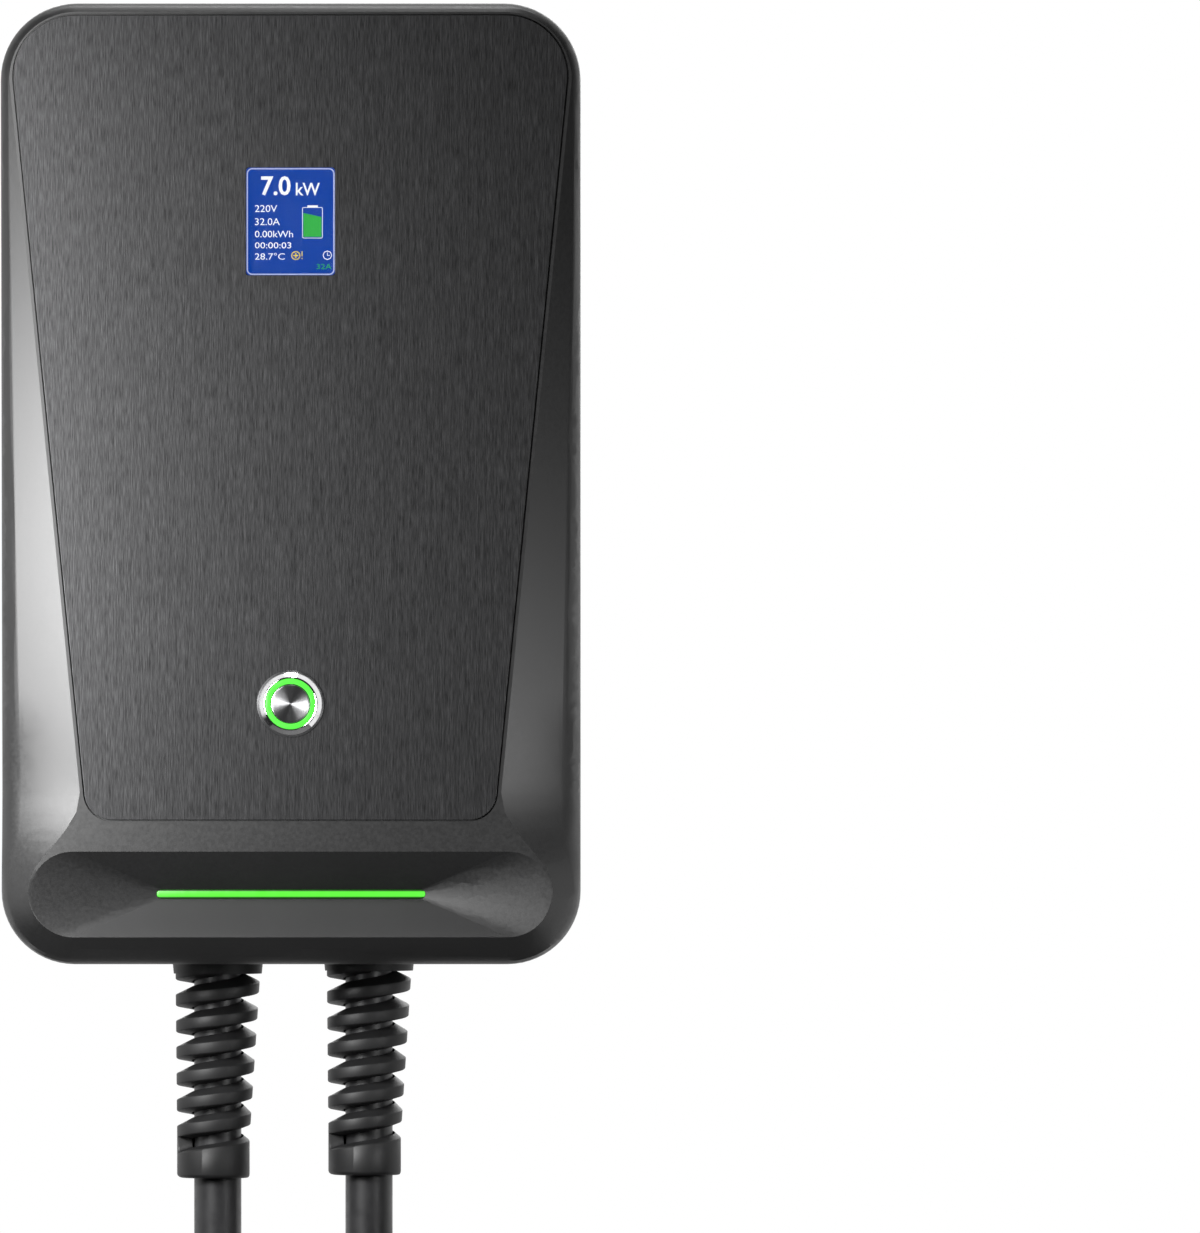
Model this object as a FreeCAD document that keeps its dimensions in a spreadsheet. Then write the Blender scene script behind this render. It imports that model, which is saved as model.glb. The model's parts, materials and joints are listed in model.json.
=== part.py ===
"""Wall-mounted charger for an electric car, as a parametric document.

Millimetres. X points right as seen from the front, Y points from the front of the
housing to the wall, Z points up. Y = 0 is the plane of the rib tips, which rest on
the wall. Z = 0 is the crossing of two ribs on the centre line.
"""
import FreeCAD
import Part
import Sketcher
import math
import os
import re

V = FreeCAD.Vector

SIZES = {
    # Front cover, outside.
    "cover_width": 190.0,
    "cover_height": 315.0,
    "cover_depth": 85.0,
    "cover_corner": 25.0,
    "cover_lower_corner": 24.0,
    "cover_wall": 2.4,
    "front_wall": 3.2,
    "centre_height": 14.4,
    "rim_setback": 2.5,
    "shoulder_depth": 65.0,
    "bottom_rim": 9.0,
    "flank_slope": 25.0,
    "lower_slope": 45.0,
    "flank_round": 11.0,
    "lower_round": 8.0,
    # Trim panel set into the front.
    "panel_side_margin": 17.5,
    "panel_lean": 5.66,
    "panel_top_margin": 4.0,
    "panel_foot_margin": 47.5,
    "panel_top_corner": 20.0,
    "panel_bottom_corner": 9.0,
    "panel_thickness": 1.0,
    "panel_gap": 0.5,
    "lip_margin": 1.5,
    # Pill-shaped hollow with the light bar.
    "pill_foot_margin": 23.1,
    "pill_round": 14.0,
    "pill_side_margin": 23.6,
    "pill_depth": 8.0,
    "light_half_length": 42.5,
    "light_height": 2.8,
    "light_flange": 3.0,
    "light_flange_thickness": 1.2,
    "light_board_thickness": 1.6,
    "light_board_overhang": 12.0,
    "light_board_height": 9.0,
    "light_hole_inset": 5.0,
    "light_post_radius": 2.4,
    "light_proud": 0.4,
    "light_end_gap": 0.05,
    # Display.
    "display_rise": 86.0,
    "display_width": 28.9,
    "display_height": 35.1,
    "lens_flange": 2.0,
    "lens_flange_thickness": 1.2,
    "display_module_width": 34.7,
    "display_module_height": 46.7,
    "display_module_thickness": 2.4,
    "display_board_width": 52.0,
    "display_board_height": 60.0,
    "display_plug_drop": 16.5,
    "display_plug_height": 7.0,
    "display_plug_width": 24.0,
    "display_plug_depth": 5.0,
    "display_corner": 1.2,
    "display_gap": 0.1,
    "lens_recess_gap": 0.3,
    "display_hole_inset": 4.0,
    "display_post_radius": 2.6,
    "small_screw_radius": 1.2,
    "small_screw_head_radius": 2.3,
    "small_screw_head_height": 1.6,
    "board_thickness": 1.6,
    # Push button.
    "button_drop": 72.0,
    "button_flange_radius": 11.0,
    "button_flange_thickness": 1.8,
    "button_seal_thickness": 0.8,
    "button_barrel_radius": 9.4,
    "button_barrel_length": 23.0,
    "button_ring_outer": 8.15,
    "button_ring_inner": 6.55,
    "button_ring_thickness": 1.6,
    "button_cap_radius": 6.3,
    "button_cap_length": 9.0,
    "button_cap_proud": 0.4,
    "button_travel": 1.2,
    "button_chamfer": 0.9,
    "button_well_gap": 0.4,
    "button_dish_rim": 0.6,
    "button_dish_middle": 0.4,
    "button_dish_depth": 0.35,
    "cap_skirt": 1.4,
    "cap_well_depth": 5.0,
    "spring_half_wire": 0.35,
    "spring_side_gap": 0.8,
    "spring_end_gap": 0.5,
    "spring_seat_gap": 0.05,
    "spring_turns": 3,
    "button_seal_inset": 0.5,
    "button_nut_width": 24.0,
    "button_nut_thickness": 3.0,
    "running_clearance": 0.06,
    "fit_clearance": 0.15,
    # Rear shell.
    "shell_side_inset": 9.5,
    "shell_top_inset": 3.0,
    "shell_foot_inset": 22.0,
    "shell_corner": 20.0,
    "shell_wall": 2.2,
    "shell_depth": 20.0,
    "shell_gap": 0.4,
    "floor_depth": 12.0,
    "floor_thickness": 2.5,
    "rib_thickness": 1.8,
    "rib_column": 39.8,
    "first_row_drop": 29.9,
    "second_row_drop": 71.8,
    "third_row_rise": 30.1,
    "fifth_row_rise": 74.6,
    "last_row_rise": 31.9,
    "post_rise": 18.2,
    "foot_post_rise": 10.0,
    "side_rib_inset": 9.0,
    "outer_rib_inset": 5.1,
    "seal_thickness": 1.5,
    "ledge_thickness": 2.5,
    "boss_radius": 6.6,
    "corner_boss_inset": 13.3,
    "corner_boss_drop": 9.4,
    "middle_boss_drop": 5.6,
    "side_boss_inset": 6.1,
    "side_boss_drop": 14.0,
    "foot_boss_inset": 12.2,
    "foot_boss_rise": 11.2,
    "boss_hole_radius": 4.6,
    "boss_floor": 3.0,
    "post_radius": 8.7,
    "post_recess_radius": 6.6,
    "post_recess_depth": 6.0,
    "case_screw_radius": 2.0,
    "case_screw_head_radius": 3.8,
    "case_screw_head_height": 2.8,
    "case_screw_length": 14.0,
    "case_socket_width": 3.0,
    "cover_post_radius": 4.6,
    "upper_lock_drop": 17.4,
    "lower_lock_rise": 15.2,
    "lock_depth": 13.4,
    "lock_radius": 4.8,
    "lock_bore": 2.4,
    "lock_hole_radius": 6.35,
    "hook_depth": 10.0,
    "hook_wall": 2.0,
    "hook_side_inset": 10.1,
    "hook_slot_width": 2.9,
    "hook_wide_width": 6.8,
    "mark_radius": 6.3,
    "mark_line": 1.2,
    "mark_height": 0.8,
    "mark_rise": 10.7,
    "corner_rib_drop": 16.0,
    "corner_rib_rise": 17.3,
    "post_well_step": 1.6,
    "post_well_depth": 3.0,
    "seal_side_gap": 0.2,
    # Cable bay and glands.
    "bay_half_width": 50.0,
    "bay_front_half_width": 43.0,
    "bay_straight": 18.0,
    "bay_corner": 9.0,
    "bay_rise": 10.8,
    "bay_depth": 49.0,
    "bay_wall": 2.6,
    "bay_gap": 0.6,
    "bay_plate_half_width": 7.3,
    "bay_plate_foot": 141.0,
    "bay_plate_thickness": 2.0,
    "bay_plate_recess_radius": 5.5,
    "bay_plate_recess_drop": 134.0,
    "gland_spread": 25.0,
    "gland_depth": 28.0,
    "gland_thread_radius": 12.5,
    "gland_thread_length": 11.0,
    "gland_washer_thickness": 1.8,
    "gland_washer_radius": 15.5,
    "gland_seal_radius": 10.5,
    "gland_hex": 29.0,
    "gland_hex_height": 5.8,
    "gland_clamp_radius": 13.75,
    "gland_clamp_length": 10.0,
    "gland_cap_gap": 4.0,
    "gland_hole_gap": 0.2,
    "gland_washer_gap": 0.1,
    "gland_seal_floor": 1.0,
    "cap_dome_foot": 0.2,
    "cap_dome_spread": 9.5,
    "relief_tip": 1.2,
    "relief_shoulder": 1.5,
    "relief_edge": 0.5,
    "relief_band_drop": 0.3,
    "relief_root_gap": 0.6,
    "relief_start": 184.0,
    "loose_cap_extra": 1.0,
    "gland_nut_hex": 31.0,
    "gland_nut_height": 12.0,
    "collar_top_radius": 15.8,
    "collar_foot_radius": 14.4,
    "collar_height": 13.8,
    "relief_length": 55.7,
    "relief_pitch": 8.35,
    "relief_band": 5.0,
    "relief_top_radius": 14.0,
    "relief_end_radius": 12.1,
    "relief_ring_height": 9.4,
    "locknut_hex": 26.8,
    "locknut_height": 5.0,
    "cable_radius": 7.8,
    "cable_clearance": 0.5,
    "jacket_rise": 14.7,
    "core_radius": 2.3,
    "core_pitch": 4.9,
    "terminal_pitch": 11.0,
    "free_core_length": 48.0,
    "ferrule_collar_radius": 2.4,
    "ferrule_collar_length": 7.0,
    "ferrule_pin_radius": 1.2,
    "ferrule_pin_length": 12.0,
    # Cable lengths put away below the housing.
    "coil_drop": 372.0,
    "coil_radius": 84.0,
    "coil_turn_pitch": 16.0,
    "coil_margin": 0.4,
    "input_tail_length": 200.0,
    "output_tail_length": 145.0,
    "strap_thickness": 1.4,
    "strap_width": 14.0,
    # Vehicle connector on the output cable.
    "boot_length": 52.0,
    "boot_top_radius": 11.0,
    "boot_foot_radius": 15.5,
    "grip_radius": 20.0,
    "grip_top_radius": 16.5,
    "grip_top_length": 14.0,
    "grip_length": 92.0,
    "flare_length": 22.0,
    "nose_radius": 31.0,
    "nose_length": 44.0,
    "nose_flat": 27.5,
    "socket_radius": 26.5,
    "socket_depth": 34.0,
    "carrier_radius": 24.0,
    "carrier_length": 26.0,
    "contact_length": 20.0,
    "power_contact_radius": 3.4,
    "power_contact_bore": 2.2,
    "signal_contact_radius": 2.1,
    "signal_contact_bore": 1.2,
    "connector_screw_radius": 2.6,
    "connector_screw_length": 9.0,
    "connector_screw_spread": 24.0,
    "connector_screw_sink": 1.5,
    "connector_drive_depth": 2.0,
    "flare_step": 0.5,
    "contact_sink": 2.0,
    # Main board and what it carries.
    "standoff_radius": 4.0,
    "standoff_height": 7.5,
    "board_side_gap": 20.5,
    "board_top": 115.0,
    "board_bottom": 75.0,
    "board_hole_inset": 7.0,
    "board_screw_radius": 1.5,
    "board_screw_head_radius": 2.8,
    "board_screw_head_height": 1.8,
    "board_screw_length": 6.0,
    "terminal_width": 38.0,
    "terminal_height": 20.0,
    "terminal_depth": 24.0,
    "terminal_screw_radius": 3.2,
    "terminal_screw_sink": 2.0,
    "relay_width": 30.0,
    "relay_height": 36.0,
    "relay_depth": 38.0,
    "supply_width": 50.0,
    "supply_height": 27.0,
    "supply_depth": 24.0,
    "sensor_outer": 17.0,
    "sensor_inner": 9.0,
    "sensor_depth": 14.0,
    "capacitor_radius": 9.0,
    "capacitor_length": 30.0,
    "bridge_width": 4.0,
    "bridge_height": 3.0,
    "bridge_reach": 22.0,
    "controller_width": 34.0,
    "controller_height": 40.0,
    "controller_thickness": 3.4,
    "ribbon_half_width": 10.0,
    "ribbon_thickness": 0.8,
    "lead_radius": 0.9,
    "lead_spread": 3.0,
}


def following(given):
    """Sizes that follow from the given ones."""
    half_width = given["cover_width"] / 2
    half_height = given["cover_height"] / 2
    shell_half = half_width - given["shell_side_inset"]
    shell_top = half_height - given["shell_top_inset"]
    shell_bottom = half_height - given["shell_foot_inset"]
    bay_ceiling = shell_bottom - given["bay_rise"]
    hook_outer = shell_half - given["hook_side_inset"]
    return {
        "lower_corner_drop": half_height - given["cover_lower_corner"],
        "panel_half_width": half_width - given["panel_side_margin"],
        "panel_top": half_height - given["panel_top_margin"],
        "panel_bottom": half_height - given["panel_foot_margin"],
        "pill_drop": half_height - given["pill_foot_margin"],
        "pill_half_length": half_width - given["pill_side_margin"],
        "shell_width": 2 * shell_half,
        "shell_top": shell_top,
        "shell_bottom": shell_bottom,
        "side_rib_inner": shell_half - given["side_rib_inset"],
        "side_rib_outer": shell_half - given["outer_rib_inset"],
        "first_row": shell_top - given["first_row_drop"],
        "second_row": shell_top - given["second_row_drop"],
        "fifth_row": given["fifth_row_rise"] - shell_bottom,
        "last_row": given["last_row_rise"] - shell_bottom,
        "hook_outer": hook_outer,
        "hook_inner": hook_outer - given["hook_slot_width"],
        "hook_wide_inner": hook_outer - given["hook_wide_width"],
        "bay_ceiling": bay_ceiling,
        "jacket_end": bay_ceiling - given["jacket_rise"],
        "board_width": 2 * (shell_half - given["board_side_gap"]),
    }


SIZES.update(following(SIZES))

# Heights on the back, from the middle of the housing: the rows of ribs, the hook pockets (slot,
# then its wide stretch) and the side cells, which hang on the first row and stand on the last.
RIB_ROWS = (
    SIZES["first_row"], SIZES["second_row"], SIZES["third_row_rise"], -SIZES["centre_height"],
    SIZES["fifth_row"], SIZES["last_row"],
)
HOOK_ROWS = (
    tuple(SIZES["first_row"] - drop for drop in (30.8, 0.9, 21.5, 10.7)),
    tuple(SIZES["last_row"] + rise for rise in (0.5, 30.7, 9.9, 20.8)),
)
CELL_ROWS = (
    tuple(SIZES["first_row"] - drop for drop in (6.9, 23.7)),
    tuple(SIZES["last_row"] + rise for rise in (24.1, 7.0)),
)


def boss_places():
    """Middles of the housing's screws, from the middle of the housing."""
    half = SIZES["shell_width"] / 2
    foot_x, foot_z = half - SIZES["foot_boss_inset"], SIZES["foot_boss_rise"] - SIZES["shell_bottom"]
    side_x, side_z = half - SIZES["side_boss_inset"], -SIZES["side_boss_drop"]
    top_x, top_z = half - SIZES["corner_boss_inset"], SIZES["shell_top"] - SIZES["corner_boss_drop"]
    return (
        (-top_x, top_z), (0.0, SIZES["shell_top"] - SIZES["middle_boss_drop"]), (top_x, top_z),
        (-side_x, side_z), (side_x, side_z), (-foot_x, foot_z), (foot_x, foot_z),
    )


BOSS_PLACES = boss_places()
POST_PLACES = tuple(
    (way * SIZES["rib_column"], z)
    for z in (
        SIZES["third_row_rise"] + SIZES["post_rise"], SIZES["last_row"] + SIZES["foot_post_rise"],
    )
    for way in (-1, 1)
)

# How far a cutting shape passes the face it cuts, and how deep a rib or post reaches into a wall.
PAST = "1"
BURY = "0.5"

doc = FreeCAD.newDocument("wall_charger")
sheet = doc.addObject("Spreadsheet::Sheet", "Sizes")
for row, (alias, value) in enumerate(SIZES.items(), start=1):
    sheet.set(f"A{row}", alias)
    sheet.set(f"B{row}", str(value))
    sheet.setAlias(f"B{row}", alias)
doc.recompute()

# What is handed in: each piece's own object, by the name of its node.
pieces = {}


def size(alias):
    """A size read from the sheet."""
    return float(sheet.get(alias))


def cells(total):
    """A sum of sizes with each size written as its cell in the sheet."""
    return re.sub(
        r"[a-z]\w+", lambda word: f"Sizes.{word[0]}" if word[0] in SIZES else word[0], total
    )


def bind(item, **sums):
    """Bind properties of an object to sums of sizes."""
    for name, total in sums.items():
        item.setExpression(name, cells(total))


def put(item, x, y, z):
    """Bind the place of an object to three sums of sizes."""
    for letter, total in zip("xyz", (x, y, z)):
        item.setExpression(f".Placement.Base.{letter}", cells(total))


def piece(label, item):
    """Name an object as one of the pieces that are handed in."""
    item.Label = label
    pieces[label] = item
    return item


def block(name, across, along, up):
    """Box between two places on each axis, each place a sum of sizes."""
    item = doc.addObject("Part::Box", name)
    for side, (low, high) in zip(("Length", "Width", "Height"), (across, along, up)):
        item.setExpression(side, cells(f"({high}) - ({low})"))
    put(item, across[0], along[0], up[0])
    return item


TURNED = {
    "x": FreeCAD.Rotation(V(0, 1, 0), 90),
    "y": FreeCAD.Rotation(V(1, 0, 0), -90),
    "z": FreeCAD.Rotation(),
}


def lay(item, axis, low, at):
    """Turn an upright solid to lie along an axis, and bind its place."""
    item.Placement = FreeCAD.Placement(V(), TURNED[axis])
    places = {"x": (low, *at), "y": (at[0], low, at[1]), "z": (*at, low)}[axis]
    put(item, *places)
    return item


def rod(name, axis, radius, low, high, at):
    """Cylinder along an axis, from low to high on it, with its middle at the two other places."""
    item = doc.addObject("Part::Cylinder", name)
    bind(item, Radius=radius, Height=f"({high}) - ({low})")
    return lay(item, axis, low, at)


def cone(name, axis, low_radius, high_radius, low, high, at):
    """Cone along an axis, from low to high on it."""
    item = doc.addObject("Part::Cone", name)
    bind(item, Radius1=low_radius, Radius2=high_radius, Height=f"({high}) - ({low})")
    return lay(item, axis, low, at)


def hexagon(name, axis, width, low, high, at):
    """Hexagonal prism of a width across its flats."""
    item = doc.addObject("Part::Prism", name)
    item.Polygon = 6
    bind(item, Circumradius=f"({width}) / 2 / cos(30)", Height=f"({high}) - ({low})")
    return lay(item, axis, low, at)


def join(name, *parts):
    """One object from several."""
    if len(parts) == 1:
        return parts[0]
    item = doc.addObject("Part::MultiFuse", name)
    item.Shapes = list(parts)
    return item


def cut(name, base, *tools):
    """An object with others taken out of it."""
    item = doc.addObject("Part::Cut", name)
    item.Base = base
    item.Tool = join(f"{name}_tools", *tools)
    return item


def common(name, first, second):
    """What two objects share."""
    item = doc.addObject("Part::Common", name)
    item.Base = first
    item.Tool = second
    return item


def feature(name, shape):
    """An object that holds a shape made with the functions below."""
    item = doc.addObject("Part::Feature", name)
    item.Shape = shape
    return item


def group(name, parts):
    """Separate like solids kept as one object."""
    item = doc.addObject("Part::Compound", name)
    item.Links = list(parts)
    return item


def tube_group(name, axis, outer, inner, low, high, at):
    """Plain ring or sleeve."""
    body = rod(f"{name}_outer", axis, outer, low, high, at)
    bore = rod(f"{name}_bore", axis, inner, f"({low}) - {PAST}", f"({high}) + {PAST}", at)
    return cut(name, body, bore)


def new_sketch(body, role, offset):
    """Sketch on one of the body's own planes, moved along the plane's normal by a sum of sizes."""
    sketch = body.newObject("Sketcher::SketchObject", f"{body.Name}_sketch")
    plane = next(item for item in body.Origin.OriginFeatures if item.Role == role)
    sketch.AttachmentSupport = [(plane, "")]
    sketch.MapMode = "FlatFace"
    sketch.setExpression(".AttachmentOffset.Base.z", cells(offset))
    return sketch


def straight_outline(sketch, corners):
    """Closed outline of straight sides; each corner is two sums, measured from the origin."""
    count = len(corners)
    turn = 2 * math.pi / count
    rough = [V(20 * math.cos(i * turn + 0.3), 20 * math.sin(i * turn + 0.3), 0) for i in range(count)]
    for i in range(count):
        sketch.addGeometry(Part.LineSegment(rough[i], rough[(i + 1) % count]), False)
    for i in range(count):
        sketch.addConstraint(Sketcher.Constraint("Coincident", i, 2, (i + 1) % count, 1))
    for i, (x, y) in enumerate(corners):
        for kind, total, value in (("DistanceX", x, rough[i].x), ("DistanceY", y, rough[i].y)):
            number = sketch.addConstraint(Sketcher.Constraint(kind, -1, 1, i, 1, value))
            sketch.setExpression(f"Constraints[{number}]", cells(total))


def pad(body, sketch, length):
    """Pad a sketch along its normal."""
    item = body.newObject("PartDesign::Pad", f"{body.Name}_pad")
    item.Profile = sketch
    bind(item, Length=length)
    doc.recompute()
    return item


def pocket_through(body, sketch):
    """Cut a sketch through the whole body, both ways."""
    item = body.newObject("PartDesign::Pocket", f"{body.Name}_pocket")
    item.Profile = sketch
    item.Type = "ThroughAll"
    item.SideType = "Symmetric"
    doc.recompute()
    return item


def round_edges(body, radius, wanted):
    """Fillet the edges of the body's tip that pass a test."""
    base = body.Tip
    names = [f"Edge{i}" for i, edge in enumerate(base.Shape.Edges, start=1) if wanted(edge)]
    item = body.newObject("PartDesign::Fillet", f"{body.Name}_fillet")
    item.Base = (base, names)
    bind(item, Radius=radius)
    doc.recompute()
    return item


def is_along(edge, axis):
    """Whether an edge is straight and runs along an axis."""
    if not isinstance(edge.Curve, Part.Line):
        return False
    way = edge.Curve.Direction
    return abs(abs(getattr(way, axis)) - 1) < 1e-6


# The sculpted cover. Each upright edge of its front is a slope that turns into the side wall by a
# round: a narrow one along the top, wide flanks beside the panel, a steep one around the pill.


def blend(start, end, share):
    """Smooth step from one value to another."""
    share = max(0.0, min(1.0, share))
    return start + (end - start) * share * share * (3 - 2 * share)


def lip_half_width(z):
    """Half width of the flat front at a height above the middle of the housing.

    It follows the panel's slanted side, then swings out to the end of the pill hollow.
    """
    lean = math.tan(math.radians(size("panel_lean")))
    edge = size("panel_half_width") + size("lip_margin")
    flare_top = -(size("panel_bottom") - size("panel_bottom_corner"))
    flare_end = 0.7
    flare_foot = -(size("lower_corner_drop") - flare_end * size("pill_round"))
    if z >= flare_top:
        return edge + lean * z
    ring = size("cover_lower_corner") - size("bottom_rim")
    middle = size("cover_width") / 2 - size("cover_lower_corner")

    def rounded(height):
        return middle + math.sqrt(max(0.0, ring**2 - (height + size("lower_corner_drop")) ** 2))

    if z <= flare_foot:
        return rounded(z)
    run = flare_foot - flare_top
    share = (z - flare_top) / run
    foot_slope = -(flare_foot + size("lower_corner_drop")) / (rounded(flare_foot) - middle)
    squared = share * share
    cubed = squared * share
    return (
        (2 * cubed - 3 * squared + 1) * (edge + lean * flare_top)
        + (cubed - 2 * squared + share) * run * lean
        + (3 * squared - 2 * cubed) * rounded(flare_foot)
        + (cubed - squared) * run * foot_slope
    )


def flank_at(z):
    """Width, slope and round of the flank at a height above the middle of the housing."""
    width = size("cover_width") / 2 - lip_half_width(z)
    steep = (-z - size("panel_bottom")) / (size("lower_corner_drop") - size("panel_bottom"))
    slope = blend(size("flank_slope"), size("lower_slope"), steep)
    round_now = blend(size("flank_round"), size("lower_round"), steep)
    most = 0.85
    widest = most * width / (1 - math.sin(math.radians(slope)))
    return width, slope, min(round_now, widest)


def flank_edges(flank, wall, depth, place):
    """Edges from the flat front to the side wall: a slope, a round and the wall down to a depth.

    place turns an inset from the side and a depth behind the front into a point. The hollow
    inside, which has a wall around it, has plain corners.
    """
    width, slope, radius = flank
    angle = math.radians(slope)
    if wall:
        corner = place(wall, width * math.tan(angle))
        return [Part.makeLine(place(width + wall, 0), corner), Part.makeLine(corner, place(wall, depth))]
    slope_depth = (width - radius * (1 - math.sin(angle))) * math.tan(angle)
    foot_depth = slope_depth + radius * math.cos(angle)
    middle = math.radians(45 + slope / 2)
    lip = place(width + wall, 0)
    knee = place(radius * (1 - math.sin(angle)) + wall, slope_depth)
    belly = place(
        radius * (1 - math.sin(middle)) + wall, foot_depth - radius * math.cos(middle)
    )
    foot = place(wall, foot_depth)
    arc = Part.Arc(knee, belly, foot).toShape()
    return [Part.makeLine(lip, knee), arc, Part.makeLine(foot, place(wall, depth))]


def front_slice(z, wall, front, depth):
    """Level slice through the front part, as wide as the housing."""
    face = size("cover_depth") - front
    half_width = size("cover_width") / 2
    level = z + size("centre_height")
    edges, lips, feet = [], [], []
    for way in (1, -1):
        side = flank_edges(
            flank_at(z), wall, depth, lambda u, d: V(way * (half_width - u), d - face, level)
        )
        lips.append(side[0].Vertexes[0].Point)
        feet.append(side[-1].Vertexes[1].Point)
        edges += side
    edges += [Part.makeLine(*lips), Part.makeLine(*feet)]
    return Part.Wire(Part.__sortEdges__(edges))


def end_part(z, corner, wall, front, depth):
    """Top or bottom of the front part: a straight stretch and its two turned corners."""
    face = size("cover_depth") - front
    level = z + size("centre_height")
    way = 1 if z > 0 else -1
    run = size("cover_width") / 2 - corner
    edges = flank_edges(
        flank_at(z), wall, depth, lambda u, d: V(run, d - face, level + way * (corner - u))
    )
    lip, foot = edges[0].Vertexes[0].Point, edges[-1].Vertexes[1].Point
    inner_lip, inner_foot = V(run, lip.y, level), V(run, foot.y, level)
    edges += [
        Part.makeLine(lip, inner_lip),
        Part.makeLine(inner_lip, inner_foot),
        Part.makeLine(inner_foot, foot),
    ]
    face_shape = Part.Face(Part.Wire(Part.__sortEdges__(edges)))
    straight = face_shape.extrude(V(-2 * run, 0, 0))
    right = face_shape.revolve(V(run, 0, level), V(0, 1, 0), way * 90)
    left = right.mirror(V(), V(1, 0, 0))
    return straight.fuse([right, left])


def rounded_wire(depth, half_width, top, foot, top_corner, foot_corner):
    """Upright rounded rectangle at one depth."""
    y = -depth
    middle = size("centre_height")
    edges = []
    corners = (
        (half_width, top, top_corner, 1, 1), (half_width, foot, foot_corner, 1, -1),
        (-half_width, foot, foot_corner, -1, -1), (-half_width, top, top_corner, -1, 1),
    )
    ends = []
    for x, z, radius, across, up in corners:
        centre = V(x - across * radius, y, z - up * radius + middle)
        level, upright = V(across * radius, 0, 0), V(0, 0, up * radius)
        half = (level + upright) * math.sqrt(0.5)
        first, last = (upright, level) if across == up else (level, upright)
        edges.append(Part.Arc(centre + first, centre + half, centre + last).toShape())
        ends.append((centre + first, centre + last))
    for i in range(4):
        edges.append(Part.makeLine(ends[i][1], ends[(i + 1) % 4][0]))
    return Part.Wire(Part.__sortEdges__(edges))


def cover_form(wall, front, rim_grow, rim_reach):
    """The cover's outer form, or with a wall and a front thickness the hollow inside it."""
    half_height = size("cover_height") / 2
    depth = size("cover_depth") - size("shoulder_depth")
    top_end = half_height - size("cover_corner")
    foot_end = -size("lower_corner_drop")
    knee = -(size("panel_bottom") - size("panel_bottom_corner"))
    shares = (0, 0.2, 0.38, 0.52, 0.64, 0.76, 0.88, 1)
    steps = [knee + share * (foot_end - knee) for share in shares]
    slices = [front_slice(z, wall, front, depth) for z in (top_end, *steps)]
    middle = Part.makeLoft(slices, True, True)
    top = end_part(top_end, size("cover_corner"), wall, front, depth)
    foot = end_part(foot_end, size("cover_lower_corner"), wall, front, depth)
    widest = rounded_wire(
        size("shoulder_depth") - front,
        size("cover_width") / 2 - wall,
        half_height - wall,
        wall - half_height,
        size("cover_corner") - wall,
        size("cover_lower_corner") - wall,
    )
    rim_sizes = (
        size("shell_width") / 2 + rim_grow,
        size("shell_top") + rim_grow,
        -size("shell_bottom") - rim_grow,
        size("shell_corner") + rim_grow,
        size("shell_corner") + rim_grow,
    )
    rims = [rounded_wire(size("rim_setback") - reach, *rim_sizes) for reach in rim_reach]
    skirt = Part.makeLoft([widest, *rims], True, True)
    return middle.fuse([top, foot, skirt]).removeSplitter()


# Places that several pieces share, each a sum of sizes.
FRONT = "-cover_depth"
INNER_FACE = "-(cover_depth - front_wall)"
PANEL_FLOOR = "-(cover_depth - panel_thickness)"
DISPLAY_Z = "centre_height + display_rise"
BUTTON_Z = "centre_height - button_drop"
PILL_Z = "centre_height - pill_drop"
LOCK_HEIGHTS = (
    "centre_height + first_row - upper_lock_drop", "centre_height + last_row + lower_lock_rise",
)
SEAL_FACE = "-shell_depth"
BOSS_FLOOR = "-(shell_depth - boss_floor)"
LEDGE_FACE = "-(shell_depth + seal_thickness)"
FLOOR_BACK = "-floor_depth"
FLOOR_FRONT = "-(floor_depth + floor_thickness)"
CEILING = "centre_height - bay_ceiling"
LIGHT_BOARD_FRONT = "-(cover_depth - pill_depth - cover_wall - light_flange_thickness)"


def panel_blank(name, offset, thickness, grow):
    """Tapered panel with rounded corners, grown all round by a gap."""
    body = doc.addObject("PartDesign::Body", name)
    top, foot = f"panel_top + {grow}", f"panel_bottom + {grow}"
    half = f"panel_half_width + {grow}"
    top_half = f"({half} + tan(panel_lean) * ({top}))"
    foot_half = f"({half} - tan(panel_lean) * ({foot}))"
    high, low = f"centre_height + {top}", f"centre_height - ({foot})"
    corners = [
        (f"-{top_half}", high), (top_half, high), (foot_half, low), (f"-{foot_half}", low),
    ]
    sketch = new_sketch(body, "XZ_Plane", offset)
    straight_outline(sketch, corners)
    pad(body, sketch, thickness)
    middle = size("centre_height")
    round_edges(
        body, f"panel_top_corner + {grow}", lambda e: is_along(e, "y") and e.BoundBox.ZMin > middle
    )
    round_edges(
        body, f"panel_bottom_corner + {grow}", lambda e: is_along(e, "y") and e.BoundBox.ZMax < middle
    )
    return body


def bay_blank(name, grow, low, high):
    """Plan of the cable bay, narrower towards the front, between two heights.

    It runs out through the plane of the wall.
    """
    body = doc.addObject("PartDesign::Body", name)
    behind = "shell_depth / 2"
    rear = f"(bay_half_width + {grow})"
    front = f"(bay_front_half_width + {grow})"
    face = f"-(bay_depth + {grow})"
    corners = [
        (f"-{rear}", behind), (rear, behind), (rear, "-bay_straight"), (front, face),
        (f"-{front}", face), (f"-{rear}", "-bay_straight"),
    ]
    sketch = new_sketch(body, "XY_Plane", low)
    straight_outline(sketch, corners)
    pad(body, sketch, f"({high}) - ({low})")
    front_depth = size("bay_straight") + 1
    round_edges(
        body, f"bay_corner + {grow}", lambda e: is_along(e, "z") and e.BoundBox.YMax < -front_depth
    )
    return body


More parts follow.
